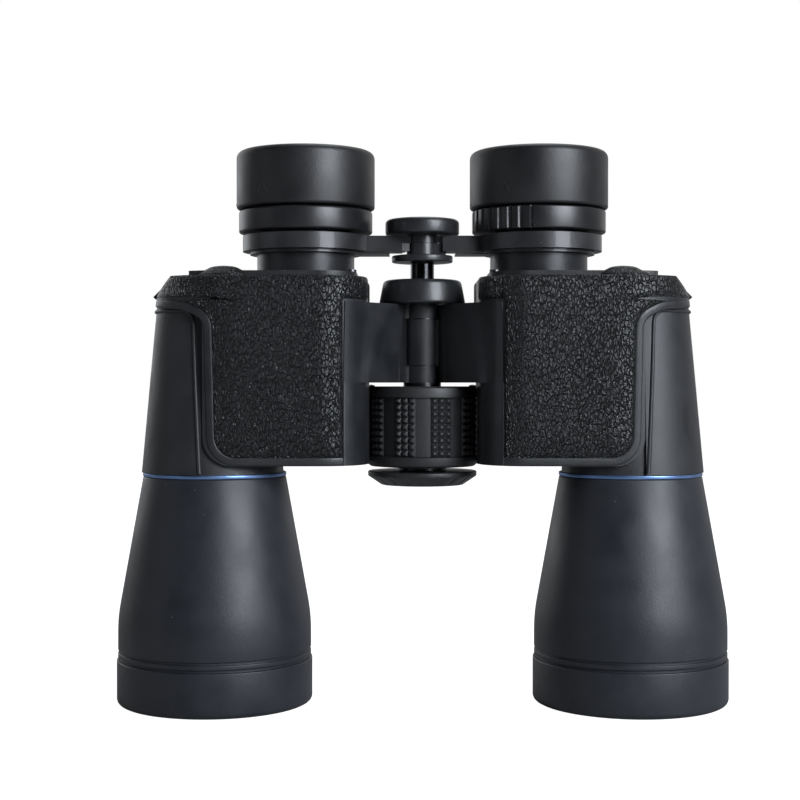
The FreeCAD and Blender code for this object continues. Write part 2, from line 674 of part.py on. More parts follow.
block = cut("housing_block",
            raised("housing_solid", plan, "housing_foot_up", "housing_top_z"),
            beyond_shoulder("below_shoulder", "0"),
            below_corner("block_corner", "0"),
            shoulder_bevel("housing_bevel"))
cavity = cut("housing_cavity",
             raised("cavity_solid", inside_plan, "housing_foot_up - 1", "housing_top_z + 1"),
             beyond_shoulder("cavity_end", "-housing_wall"),
             below_corner("cavity_corner", "housing_wall"),
             beyond_deck("cavity_deck", "0"))
neck = cut("housing_neck",
           cone("neck_solid", "neck_foot_r - armour_wall", "neck_top_r - armour_wall",
                "neck_foot_z", "neck_top_z", "objective_axis_x"),
           cut("neck_opening",
               box("neck_opening_block",
                   ("0", "-housing_front_y", "housing_foot_up + neck_ring_height"),
                   ("block_side_out - housing_wall", "housing_back_y", "housing_top_z")),
               below_corner("neck_opening_corner", "housing_wall / 2")))
bosses = [
    cylinder(f"boss_{place}", "boss_r", "housing_top_z - cover_wall - boss_height",
             "housing_top_z - cover_wall", x, y)
    for place, x, y in SCREW_PLACES]
arm = raised("hinge_arm", flat_outline("arm_plan", [
    ("arm_inner_x", "-arm_front_y"),
    ("arm_shoulder_x", "-arm_shoulder_y"),
    ("housing_inner_x + housing_wall", "-arm_root_y"),
    ("housing_inner_x + housing_wall", "axis_y + arm_back_y"),
    ("arm_inner_x", "axis_y + arm_back_y - 2"),
]), "hinge_foot_over", "hinge_top_over")

casting = cut(
    "casting",
    joined("casting_walls", cut("hollow_block", block, cavity), neck, arm, *bosses),
    cone("neck_bore", "neck_bore_foot_r", "neck_bore_top_r", "neck_foot_z",
         "neck_top_z", "objective_axis_x"),
    cylinder("spigot_seat", "spigot_r + running_gap", "neck_foot_z", SPIGOT_END,
             "objective_axis_x"),
    cylinder("wheel_relief", "grip_r + wheel_gap", "housing_foot_up - 1",
             "hinge_foot_over", "0", "axis_y"),
    cylinder("arm_relief", "knuckle_r + wheel_gap", "hinge_foot_over - 1",
             "hinge_top_over + 1", "0", "axis_y"),
    lug_band("lug_slot", "lug_foot", "-lug_slot_depth", "lug_slot_width"),
    *[cylinder(f"boss_hole_{place}", "screw_r + running_gap",
               "housing_top_z - cover_wall - boss_height - 1", "housing_top_z", x, y)
      for place, x, y in SCREW_PLACES])


def knuckle(side, place, foot, top, bore):
    """One hinge knuckle with its web to the arm of that half."""
    name = f"{side}_{place}_knuckle"
    web_ends = ("0", "arm_inner_x + 1") if side == "right" else ("-arm_inner_x - 1", "0")
    return cut(name,
               joined(name + "_solid",
                      cylinder(name + "_barrel", "knuckle_r", foot, top, "0", "axis_y"),
                      box(name + "_web",
                          (web_ends[0], "axis_y - web_width / 2", foot),
                          (web_ends[1], "axis_y + web_width / 2", top))),
               cylinder(name + "_bore", bore, f"{foot} - 1", f"{top} + 1", "0", "axis_y"))


finished(joined("right_housing", casting,
                knuckle("right", "middle", "low_joint_over + joint_washer / 2 + running_gap",
                        "high_joint_over - joint_washer / 2 - running_gap",
                        "axle_r + running_gap")), "right_housing")
finished(joined("left_housing", mirror("left_casting", casting),
                knuckle("left", "lower", "hinge_foot_over",
                        "low_joint_over - joint_washer / 2", "axle_r"),
                knuckle("left", "upper", "high_joint_over + joint_washer / 2",
                        "hinge_top_over", "axle_r")), "left_housing")

# Textured covering round the block, open at the hinge plates and at the neck.
pair("covering", cut(
    "covering_skin",
    raised("skin_solid", skin_plan, "covering_foot_up", "housing_top_z - running_gap"),
    box("skin_hinge_side", ("0", "-2 * housing_front_y", "0"),
        ("covering_edge_x", "2 * housing_back_y", "tab_foot_over")),
    box("skin_end", ("block_side_out - rim_width", "-2 * housing_front_y", "0"),
        ("2 * housing_side_out", "2 * housing_back_y", "shoulder_over")),
    below_corner("skin_corner", "rim_width"),
    shoulder_bevel("skin_bevel"),
    cylinder("skin_neck", "neck_foot_r + seat_gap", "0", "shoulder_over",
             "objective_axis_x")))

# Smooth armour on the outer side of the neck.
ARMOUR_FOOT = "neck_foot_z + running_gap"
pair("neck_armour", cut(
    "armour_shell",
    cone("armour_solid", "neck_foot_r", "neck_top_r", ARMOUR_FOOT,
         "shoulder_over - seat_gap", "objective_axis_x"),
    cone("armour_inside", "neck_foot_r - armour_wall + running_gap",
         "neck_top_r - armour_wall + running_gap", "neck_foot_z",
         "neck_top_z", "objective_axis_x"),
    box("armour_edge", ("0", "-2 * housing_front_y", "0"),
        ("armour_edge_out", "2 * housing_back_y", "housing_top_z"))))

# Top cover: flange in the housing's mouth, raised middle, guide collar for the tube.
GUIDE_FOOT = "housing_top_z - cover_wall - guide_height"
pair("top_cover", cut(
    "top_cover_plate",
    joined("top_cover_solid",
           cut("cover_flange",
               raised("cover_flange_solid", cover_plan,
                      "housing_top_z - cover_wall + running_gap", "housing_top_z"),
               beyond_deck("cover_end", "-running_gap")),
           cut("cover_middle",
               raised("cover_middle_solid", raised_plan, "housing_top_z - cover_wall / 2",
                      "housing_top_z + cover_rise"),
               beyond_deck("cover_middle_end", "-cover_inset")),
           cylinder("guide_collar", "guide_r", GUIDE_FOOT, "housing_top_z",
                    "eyepiece_axis_x", "axis_y")),
    cylinder("guide_bore", "tube_r + running_gap", f"{GUIDE_FOOT} - 1",
             "housing_top_z + cover_rise + 1", "eyepiece_axis_x", "axis_y"),
    *[cylinder(f"cover_hole_{place}", "screw_r + running_gap",
               "housing_top_z - 2 * cover_wall", "housing_top_z + 2 * cover_rise", x, y)
      for place, x, y in SCREW_PLACES]))

# Bottom cover: closes the block beside the neck.
pair("bottom_cover", cut(
    "bottom_cover_plate",
    raised("bottom_cover_solid", cover_plan, "housing_foot_up",
           "housing_foot_up + cover_wall"),
    cylinder("bottom_cover_neck", "neck_foot_r + bottom_cover_gap", "0", "shelf_top_z",
             "objective_axis_x"),
    box("bottom_cover_end", ("objective_axis_x - neck_foot_r / 2", "-2 * housing_front_y", "0"),
        ("2 * housing_side_out", "2 * housing_back_y", "shelf_top_z"))))

# Screws of the top cover.
SCREW_SEAT = "housing_top_z + cover_rise"
pair("cover_screws", group("cover_screws", [
    joined(f"cover_screw_{place}",
           cylinder(f"screw_head_{place}", "screw_head_r", SCREW_SEAT,
                    f"{SCREW_SEAT} + screw_head_height", x, y),
           cylinder(f"screw_thread_{place}", "screw_r",
                    f"{SCREW_SEAT} - screw_length", SCREW_SEAT, x, y))
    for place, x, y in SCREW_PLACES]))

# Strap lug: a bar that lies on the bevelled shoulder and bridges the strap slot.
pair("strap_lug", lug_band("lug_bar", "0", "lug_wall", "lug_width"))


# ---- prisms and their shelf -----------------------------------------------------------


def porro_prism(name, tall):
    """A right-angle prism on its long face; tall is +1 when its ridge points up."""
    corners = [("-prism_shift", "0"), ("prism_shift", "0"), ("prism_blunt", "prism_height"),
               ("-prism_blunt", "prism_height")]
    if tall < 0:
        corners = [(across, "0" if up == "0" else "-" + up) for across, up in corners]
    roof = doc.addObject("Part::Extrusion", name + "_roof")
    roof.Base = flat_outline(name + "_triangle", corners, upright=True)
    roof.DirMode = "Custom"
    roof.Dir = FreeCAD.Vector(0, 1, 0)
    roof.Solid = True
    roof.Symmetric = True
    bind(roof, LengthFwd="prism_width")
    half = "prism_width / 2"
    ends = raised(name + "_ends", flat_outline(name + "_footprint", [
        (f"{half} - prism_shift", f"-({half})"),
        (f"prism_shift - {half}", f"-({half})", f"{half} * 1.0001"),
        ("prism_shift", "0", f"{half} * 1.0001"),
        (f"prism_shift - {half}", half),
        (f"{half} - prism_shift", half, f"{half} * 1.0001"),
        ("-prism_shift", "0", f"{half} * 1.0001"),
    ]), "-prism_shift", "prism_shift")
    return common(name, roof, ends)


def clip(name, tall):
    """A spring strap over the prism's ridge, its two feet on the shelf."""
    reach = "prism_height + running_gap"
    half = "prism_width / 2 + running_gap"
    ends = ("0", f"{reach} + clip_wall") if tall > 0 else (f"-({reach} + clip_wall)", "0")
    window = ("-1", reach) if tall > 0 else (f"-({reach})", "1")
    return cut(name,
               box(name + "_outside", ("-clip_width / 2", f"-({half} + clip_wall)", ends[0]),
                   ("clip_width / 2", f"{half} + clip_wall", ends[1])),
               box(name + "_inside", ("-clip_width", f"-({half})", window[0]),
                   ("clip_width", half, window[1])))


def stand(solid, x, y, z, run, rise):
    """Stands a solid on the shelf, its long side turned to go rise up for run across."""
    solid.setExpression("Placement.Rotation.Angle", sized(f"atan2({rise}; {run})"))
    return put(solid, x, y, z)


OBJECTIVE_PRISM = ("(objective_axis_x + middle_x) / 2", "-forward_step / 2",
                   "shelf_top_z + running_gap",
                   "-back_step", "-forward_step")
EYEPIECE_PRISM = ("(middle_x + eyepiece_axis_x) / 2", "(axis_y - forward_step) / 2",
                  "shelf_foot_z - running_gap",
                  "-forward_step", "back_step")

pair("objective_prism", stand(porro_prism("objective_prism", 1), *OBJECTIVE_PRISM))
pair("eyepiece_prism", stand(porro_prism("eyepiece_prism", -1), *EYEPIECE_PRISM))
pair("prism_clips", group("prism_clips", [
    stand(clip("objective_prism_clip", 1), *OBJECTIVE_PRISM),
    stand(clip("eyepiece_prism_clip", -1), *EYEPIECE_PRISM)]))

pair("prism_shelf", cut(
    "shelf_plate",
    joined("shelf_solid",
           cut("shelf_in_block",
               raised("shelf_outline", cover_plan, "shelf_foot_z", "shelf_top_z"),
               beyond_shoulder("shelf_end", "-(housing_wall + running_gap)")),
           cylinder("shelf_round_end", "shelf_end_r", "shelf_foot_z", "shelf_top_z",
                    "objective_axis_x")),
    cylinder("window_objective", "shelf_window_r", "shelf_foot_z - 1", "shelf_top_z + 1",
             "objective_axis_x"),
    cylinder("window_middle", "shelf_window_r", "shelf_foot_z - 1", "shelf_top_z + 1",
             "middle_x", "-forward_step"),
    cylinder("window_eyepiece", "shelf_window_r", "shelf_foot_z - 1", "shelf_top_z + 1",
             "eyepiece_axis_x", "axis_y")))


# ---- hinge ----------------------------------------------------------------------------

axle_turned = put(turned("axle_turned", [
    ("socket_r", "spindle_foot_z"),
    ("spindle_r", "spindle_foot_z"),
    ("spindle_r", "hinge_foot_over"),
    ("axle_r", "hinge_foot_over"),
    ("axle_r", "axle_top_z"),
    ("axle_mouth_r", "axle_top_z"),
    ("axle_mouth_r", "hinge_top_over"),
    ("axle_bore_r", "hinge_top_over"),
    ("axle_bore_r", "spindle_foot_z + socket_depth"),
    ("socket_r", "spindle_foot_z + socket_depth"),
]), y="axis_y")
PIN_SLOT = "cross_pin_r + seat_gap"
finished(cut("hinge_axle", axle_turned, box(
    "axle_slot", ("-2 * spindle_r", f"axis_y - ({PIN_SLOT})", "track_foot_z"),
    ("2 * spindle_r", f"axis_y + {PIN_SLOT}", "track_top_z"))), "hinge_axle")

finished(group("hinge_washers", [
    cut(f"{place}_washer",
        cylinder(f"{place}_washer_disc", "knuckle_r", f"{z} - joint_washer / 2 + running_gap / 4",
                 f"{z} + joint_washer / 2 - running_gap / 4", "0", "axis_y"),
        cylinder(f"{place}_washer_hole", "axle_r + running_gap", f"{z} - 1", f"{z} + 1",
                 "0", "axis_y"))
    for place, z in (("low", "low_joint_over"), ("high", "high_joint_over"))]), "hinge_washers")

finished(put(turned("hinge_collar", [
    ("axle_r", "collar_foot_z"),
    ("collar_foot_r", "collar_foot_z"),
    ("collar_top_r", "collar_top_z - collar_round"),
    ("collar_top_r - collar_round", "collar_top_z"),
    ("axle_mouth_r", "collar_top_z"),
    ("axle_mouth_r", "axle_top_z + running_gap"),
    ("axle_r", "axle_top_z + running_gap"),
]), y="axis_y"), "hinge_collar")

SOCKET_FOOT = "spindle_foot_z - socket_flange"
finished(put(turned("tripod_socket", [
    ("tripod_thread_r", SOCKET_FOOT),
    ("socket_flange_r", SOCKET_FOOT),
    ("socket_flange_r", "spindle_foot_z - running_gap"),
    ("socket_r - running_gap", "spindle_foot_z - running_gap"),
    ("socket_r - running_gap", "spindle_foot_z + socket_depth - running_gap"),
    ("0", "spindle_foot_z + socket_depth - running_gap"),
    ("0", f"{SOCKET_FOOT} + tripod_thread_depth"),
    ("tripod_thread_r", f"{SOCKET_FOOT} + tripod_thread_depth"),
]), y="axis_y"), "tripod_socket")

finished(put(turned("tripod_cap", [
    ("0", "lid_foot_z"),
    ("lid_face_r", "lid_foot_z"),
    ("lid_r", "lid_top_z - lid_rim"),
    ("lid_r", "lid_top_z"),
    ("tripod_thread_r - running_gap", "lid_top_z"),
    ("tripod_thread_r - running_gap", "lid_top_z + lid_stud_height"),
    ("0", "lid_top_z + lid_stud_height"),
]), y="axis_y"), "tripod_cap")


# ---- focus wheel ----------------------------------------------------------------------

finished(put(turned("focus_wheel", [
    ("spindle_r + running_gap", "wheel_foot_z"),
    ("wheel_core_r", "wheel_foot_z"),
    ("wheel_core_r", "wheel_top_z"),
    ("spindle_r + running_gap", "wheel_top_z"),
    ("spindle_r + running_gap", "track_top_z"),
    ("track_r", "track_top_z"),
    ("track_r", "track_foot_z"),
    ("spindle_r + running_gap", "track_foot_z"),
]), y="axis_y"), "focus_wheel")

finished(put(turned("focus_grip", [
    ("wheel_core_r", "wheel_foot_z"),
    ("grip_r", "wheel_foot_z"),
    ("grip_r", "wheel_foot_z + grip_band"),
    ("grip_r - grip_relief", "wheel_foot_z + grip_band"),
    ("grip_r - grip_relief", "wheel_top_z - grip_band"),
    ("grip_r", "wheel_top_z - grip_band"),
    ("grip_r", "wheel_top_z"),
    ("wheel_core_r", "wheel_top_z"),
]), y="axis_y"), "focus_grip")


# ---- bridge and focus rod -------------------------------------------------------------

rod = put(turned("rod_turned", [
    ("0", "rod_foot_z"),
    ("axle_bore_r - running_gap", "rod_foot_z"),
    ("axle_bore_r - running_gap", "shaft_foot_z"),
    ("shaft_r", "shaft_foot_z"),
    ("shaft_r", "washer_foot_over"),
    ("bridge_pin_r", "washer_foot_over"),
    ("bridge_pin_r", "cap_foot_over + cap_round"),
    ("0", "cap_foot_over + cap_round"),
]), y="axis_y")
cross_pin = doc.addObject("Part::Cylinder", "cross_pin")
cross_pin.Placement.Rotation = FreeCAD.Rotation(FreeCAD.Vector(0, 1, 0), 90)
bind(cross_pin, Radius="cross_pin_r", Height="2 * (track_r - 3 * running_gap)")
put(cross_pin, "-(track_r - 3 * running_gap)", "axis_y", "cross_pin_z")
finished(joined("focus_rod", rod, cross_pin), "focus_rod")

finished(put(turned("bridge_washer", [
    ("bridge_pin_r", "washer_foot_over"),
    ("washer_r", "washer_foot_over"),
    ("washer_r", "washer_top_over"),
    ("bridge_pin_r", "washer_top_over"),
]), y="axis_y"), "bridge_washer")

finished(put(turned("bridge_cap", [
    ("bridge_pin_r", "cap_foot_over"),
    ("cap_r", "cap_foot_over"),
    ("cap_r", "cap_top_over - cap_round"),
    ("cap_r - cap_round", "cap_top_over"),
    ("0", "cap_top_over"),
    ("0", "cap_foot_over + cap_round + running_gap"),
    ("bridge_pin_r", "cap_foot_over + cap_round + running_gap"),
]), y="axis_y"), "bridge_cap")

for side, foot, top in (
        ("left", "bridge_joint_over + running_gap", "cap_foot_over - running_gap"),
        ("right", "washer_top_over + running_gap", "bridge_joint_over - running_gap")):
    name = f"{side}_bridge_arm"
    ring_x = mirrored_x(side, "eyepiece_axis_x")
    bar_ends = ("arm_end_x", "eyepiece_axis_x")
    web_ends = ("0", "arm_end_x + 1")
    plate_ends = ("arm_plate_x", "eyepiece_axis_x")
    if side == "left":
        bar_ends, web_ends, plate_ends = [
            tuple("0" if end == "0" else f"-({end})" for end in reversed(ends))
            for ends in (bar_ends, web_ends, plate_ends)]
    flange_foot = "arm_ring_foot_over - arm_flange"
    finished(cut(
        name,
        joined(name + "_solid",
               cylinder(name + "_ring", "arm_ring_r", "arm_ring_foot_over", "arm_ring_top_over",
                        ring_x, "axis_y"),
               cylinder(name + "_flange", "arm_flange_r", flange_foot, "arm_ring_top_over",
                        ring_x, "axis_y"),
               box(name + "_bar", (bar_ends[0], "axis_y - arm_width / 2", "arm_ring_foot_over"),
                   (bar_ends[1], "axis_y + arm_width / 2", "arm_ring_top_over")),
               box(name + "_plate", (plate_ends[0], "axis_y - arm_width / 2", flange_foot),
                   (plate_ends[1], "axis_y + arm_width / 2", f"{flange_foot} + arm_plate")),
               cut(name + "_knuckle",
                   joined(name + "_knuckle_solid",
                          cylinder(name + "_barrel", "bridge_knuckle_r", foot, top,
                                   "0", "axis_y"),
                          box(name + "_web",
                              (web_ends[0], "axis_y - web_width / 2", foot),
                              (web_ends[1], "axis_y + web_width / 2",
                               top if side == "right" else "arm_ring_top_over"))),
                   cylinder(name + "_pin_hole", "bridge_pin_r + running_gap",
                            f"{foot} - 1", f"{top} + 1", "0", "axis_y"))),
        cylinder(name + "_tube_hole", "tube_r", f"{flange_foot} - 1", "arm_ring_top_over + 1",
                 ring_x, "axis_y")), name)


# ---- eyepieces ------------------------------------------------------------------------

turned_pair("eyepiece_tube", [
    ("tube_bore_r", "tube_foot_over"),
    ("tube_r", "tube_foot_over"),
    ("tube_r", "tube_top_over"),
    ("tube_bore_r", "tube_top_over"),
], "eyepiece_axis_x", "axis_y")

OCULAR_BORE = "ocular_r - ocular_wall"
turned_pair("ocular_cell", [
    (f"{OCULAR_BORE} - ocular_lip", "ocular_foot_over"),
    ("ocular_r", "ocular_foot_over"),
    ("ocular_r", "ocular_top_over"),
    (OCULAR_BORE, "ocular_top_over"),
    (OCULAR_BORE, "field_lens_over - running_gap"),
    (f"{OCULAR_BORE} - ocular_lip", "field_lens_over - running_gap"),
], "eyepiece_axis_x", "axis_y")

for name, start, edge, sag in (
        ("field_lens", "field_lens_over", "field_lens_edge", "field_lens_sag"),
        ("eye_lens", "eye_lens_over", "eye_lens_edge", "eye_lens_sag")):
    radius = f"({OCULAR_BORE} - running_gap)"
    turned_pair(name, [
        ("0", start),
        (radius, start),
        (radius, f"{start} + {edge}", f"({radius}^2 + {sag}^2) / (2 * {sag})"),
        ("0", f"{start} + {edge} + {sag}"),
    ], "eyepiece_axis_x", "axis_y")

for side, name in (("left", "left_eyepiece_ring"), ("right", "dioptre_ring")):
    finished(put(turned(name, [
        ("tube_r + running_gap", "ring_foot_over"),
        ("ring_r", "ring_foot_over"),
        ("ring_r", "ring_top_over"),
        ("tube_r + running_gap", "ring_top_over"),
    ]), mirrored_x(side, "eyepiece_axis_x"), "axis_y"), name)

turned_pair("eyecup_sleeve", [
    ("tube_r + running_gap", "sleeve_foot_over"),
    ("sleeve_r", "sleeve_foot_over"),
    ("sleeve_r", "sleeve_top_over"),
    ("tube_r + running_gap", "sleeve_top_over"),
], "eyepiece_axis_x", "axis_y")

turned_pair("eyecup", [
    ("sleeve_r + running_gap", "cup_foot_over"),
    ("cup_r", "cup_foot_over"),
    ("cup_r", "cup_top_over - cup_round", "cup_round"),
    ("cup_r - cup_round", "cup_top_over"),
    ("eye_hole_r", "cup_top_over"),
    ("eye_hole_r", "sleeve_top_over + running_gap"),
    ("sleeve_r + running_gap", "sleeve_top_over + running_gap"),
], "eyepiece_axis_x", "axis_y")


# ---- build, check and write -----------------------------------------------------------

doc.recompute()
for thing in doc.Objects:
    if "Invalid" in thing.State or "Error" in thing.State:
        raise RuntimeError(f"{thing.Label} did not build: {thing.State}")
for piece in nodes:
    if piece.Shape.isNull() or not piece.Shape.isValid() or not piece.Shape.Solids:
        raise RuntimeError(f"{piece.Label} has no sound solid")

os.makedirs("parts", exist_ok=True)
for piece in nodes:
    piece.Shape.exportStep(os.path.join("parts", piece.Label + ".step"))
print(len(nodes), "pieces written")
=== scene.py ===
import math
import bmesh
import bpy
import numpy as np
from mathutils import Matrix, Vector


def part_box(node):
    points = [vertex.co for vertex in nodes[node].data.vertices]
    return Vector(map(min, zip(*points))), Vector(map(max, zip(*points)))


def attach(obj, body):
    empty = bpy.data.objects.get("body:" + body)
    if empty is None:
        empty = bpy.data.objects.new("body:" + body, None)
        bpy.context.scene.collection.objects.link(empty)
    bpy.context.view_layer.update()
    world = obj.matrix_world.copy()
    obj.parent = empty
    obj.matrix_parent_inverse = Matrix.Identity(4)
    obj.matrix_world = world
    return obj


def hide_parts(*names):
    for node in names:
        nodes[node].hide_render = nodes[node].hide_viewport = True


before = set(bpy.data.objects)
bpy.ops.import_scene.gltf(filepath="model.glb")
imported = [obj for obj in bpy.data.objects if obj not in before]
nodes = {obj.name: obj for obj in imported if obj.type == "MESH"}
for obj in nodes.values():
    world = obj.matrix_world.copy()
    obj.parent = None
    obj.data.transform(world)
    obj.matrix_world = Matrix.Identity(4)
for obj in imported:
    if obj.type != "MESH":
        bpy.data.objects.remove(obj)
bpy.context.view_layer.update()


# ---- cast housings ----
# Each half is a die-cast prism housing, painted in a dark, slightly sparkling semi-gloss.
# Its hinge arms and knuckles are one piece with it; only the rim round the leather, the
# hinge side and the underside stay bare.

def joined_up(tree, source, target):
    """One wire of a node tree, from an output socket to an input socket."""
    tree.links.new(source, target)


def new_group(name, inputs, outputs):
    """An empty shader group; inputs and outputs are (name, socket type, default) rows."""
    group = bpy.data.node_groups.new(name, "ShaderNodeTree")
    for label, kind, value in inputs:
        socket = group.interface.new_socket(name=label, in_out="INPUT", socket_type=kind)
        if value is not None:
            socket.default_value = value
    for label, kind in outputs:
        group.interface.new_socket(name=label, in_out="OUTPUT", socket_type=kind)
    return group, group.nodes.new("NodeGroupInput"), group.nodes.new("NodeGroupOutput")


def number_step(tree, operation, first, second):
    """A Math node on two values, each of them a socket or a plain number."""
    step = tree.nodes.new("ShaderNodeMath")
    step.operation = operation
    for place, value in enumerate((first, second)):
        if isinstance(value, (int, float)):
            step.inputs[place].default_value = value
        else:
            joined_up(tree, value, step.inputs[place])
    return step.outputs[0]


# Grain: fine noise gives the height, and noise thirty times as wide gives patches.
grain_group, coming, going = new_group(
    "surface_grain",
    [("Place", "NodeSocketVector", None), ("Size", "NodeSocketFloat", 0.0004)],
    [("Height", "NodeSocketFloat"), ("Patch", "NodeSocketFloat")])
pitch = number_step(grain_group, "DIVIDE", 1.0, coming.outputs["Size"])
fine = grain_group.nodes.new("ShaderNodeTexNoise")
fine.inputs["Detail"].default_value = 3.0
fine.inputs["Roughness"].default_value = 0.6
wide = grain_group.nodes.new("ShaderNodeTexNoise")
wide.inputs["Detail"].default_value = 2.0
for noise, share in ((fine, 1.0), (wide, 1.0 / 30.0)):
    joined_up(grain_group, coming.outputs["Place"], noise.inputs["Vector"])
    joined_up(grain_group, number_step(grain_group, "MULTIPLY", pitch, share),
              noise.inputs["Scale"])
joined_up(grain_group, fine.outputs["Fac"], going.inputs["Height"])
joined_up(grain_group, wide.outputs["Fac"], going.inputs["Patch"])

# Dust: one round speck in some of the cells of a scattered pattern.
dust_group, coming, going = new_group(
    "dust_specks",
    [("Place", "NodeSocketVector", None), ("Spacing", "NodeSocketFloat", 0.003),
     ("Share", "NodeSocketFloat", 0.12), ("Radius", "NodeSocketFloat", 0.05)],
    [("Mask", "NodeSocketFloat")])
cells = dust_group.nodes.new("ShaderNodeTexVoronoi")
joined_up(dust_group, coming.outputs["Place"], cells.inputs["Vector"])
joined_up(dust_group, number_step(dust_group, "DIVIDE", 1.0, coming.outputs["Spacing"]),
          cells.inputs["Scale"])
chosen = dust_group.nodes.new("ShaderNodeSeparateColor")
joined_up(dust_group, cells.outputs["Color"], chosen.inputs[0])
near = number_step(dust_group, "LESS_THAN", cells.outputs["Distance"],
                   coming.outputs["Radius"])
picked = number_step(dust_group, "LESS_THAN", chosen.outputs[0], coming.outputs["Share"])
joined_up(dust_group, number_step(dust_group, "MULTIPLY", near, picked),
          going.inputs["Mask"])


def blended(tree, share, first, second):
    """A Mix node between two colours, each of them a socket or (r, g, b)."""
    mix = tree.nodes.new("ShaderNodeMix")
    mix.data_type = "RGBA"
    joined_up(tree, share, mix.inputs[0])
    for place, value in ((6, first), (7, second)):
        if isinstance(value, tuple):
            mix.inputs[place].default_value = (*value, 1.0)
        else:
            joined_up(tree, value, mix.inputs[place])
    return mix.outputs[2]


def spread(tree, value, low, high):
    """Carries a 0.3 to 0.7 value onto low to high."""
    ramp = tree.nodes.new("ShaderNodeMapRange")
    ramp.inputs["From Min"].default_value = 0.3
    ramp.inputs["From Max"].default_value = 0.7
    ramp.inputs["To Min"].default_value = low
    ramp.inputs["To Max"].default_value = high
    joined_up(tree, value, ramp.inputs["Value"])
    return ramp.outputs[0]


def new_finish(name):
    """An empty finish: the material, its tree, its shader and its object coordinates."""
    material = bpy.data.materials.new(name)
    material.use_nodes = True
    tree = material.node_tree
    place = tree.nodes.new("ShaderNodeTexCoord").outputs["Object"]
    return material, tree, tree.nodes["Principled BSDF"], place


def raised_by(tree, shader, height, depth):
    """Bump of the given depth in metres from a height of 0 to 1."""
    bump = tree.nodes.new("ShaderNodeBump")
    bump.inputs["Distance"].default_value = depth
    joined_up(tree, height, bump.inputs["Height"])
    joined_up(tree, bump.outputs[0], shader.inputs["Normal"])


def grained(name, dark, pale, rough, grain, depth, dust=0.1, metal=0.0, coat=0.0):
    """A coat or skin with grain: colour and roughness drift with the patches, and a few
    pale specks of dust lie on it."""
    material, tree, shader, place = new_finish(name)
    skin = tree.nodes.new("ShaderNodeGroup")
    skin.node_tree = grain_group
    skin.inputs["Size"].default_value = grain
    joined_up(tree, place, skin.inputs["Place"])
    specks = tree.nodes.new("ShaderNodeGroup")
    specks.node_tree = dust_group
    specks.inputs["Share"].default_value = dust
    joined_up(tree, place, specks.inputs["Place"])
    tone = blended(tree, spread(tree, skin.outputs["Patch"], 0.0, 1.0), dark, pale)
    dusty = tuple(0.55 * value + 0.13 for value in pale)
    joined_up(tree, blended(tree, specks.outputs["Mask"], tone, dusty),
              shader.inputs["Base Color"])
    joined_up(tree, spread(tree, skin.outputs["Patch"], rough - 0.04, rough + 0.06),
              shader.inputs["Roughness"])
    raised_by(tree, shader, skin.outputs["Height"], depth)
    shader.inputs["Metallic"].default_value = metal
    shader.inputs["Coat Weight"].default_value = coat
    return material


def repaint(name, material):
    """Gives a CAD node its finish."""
    mesh = nodes[name].data
    mesh.materials.clear()
    mesh.materials.append(material)


casting_paint = grained("casting_paint", (0.013, 0.014, 0.016), (0.022, 0.023, 0.026),
                        0.42, 0.00030, 0.00010, coat=0.12)
for side in ("left", "right"):
    repaint(f"{side}_housing", casting_paint)

cover_paint = grained("cover_paint", (0.012, 0.012, 0.013), (0.022, 0.022, 0.024),
                      0.40, 0.00035, 0.00007)
for side in ("left", "right"):
    for cover in ("top_cover", "bottom_cover"):
        repaint(f"{side}_{cover}", cover_paint)


# ---- screws, lugs and inner metalwork ----
# Blackened steel screws hold the covers and a pressed black lug takes the strap. Inside,
# the prisms sit on a shelf under spring straps.
screw_steel = grained("screw_steel", (0.10, 0.10, 0.10), (0.16, 0.16, 0.165), 0.30,
                      0.00025, 0.00002, metal=1.0)
lug_enamel = grained("lug_enamel", (0.012, 0.012, 0.013), (0.02, 0.02, 0.021), 0.28,
                     0.0005, 0.00003, coat=0.3)
shelf_black = grained("shelf_black", (0.015, 0.015, 0.016), (0.028, 0.028, 0.03), 0.6,
                      0.0004, 0.00005)
spring_bright = grained("spring_bright", (0.42, 0.42, 0.43), (0.52, 0.52, 0.53), 0.28,
                        0.0003, 0.00001, metal=1.0)
for side in ("left", "right"):
    repaint(f"{side}_cover_screws", screw_steel)
    repaint(f"{side}_strap_lug", lug_enamel)
    repaint(f"{side}_prism_shelf", shelf_black)
    repaint(f"{side}_prism_clips", spring_bright)


# ---- objective barrels ----
# A turned tube flares from the neck to a straight rim with two grooves above it. Barrel
# and rim are sprayed with a soft-touch black, and the mouth is dull inside.

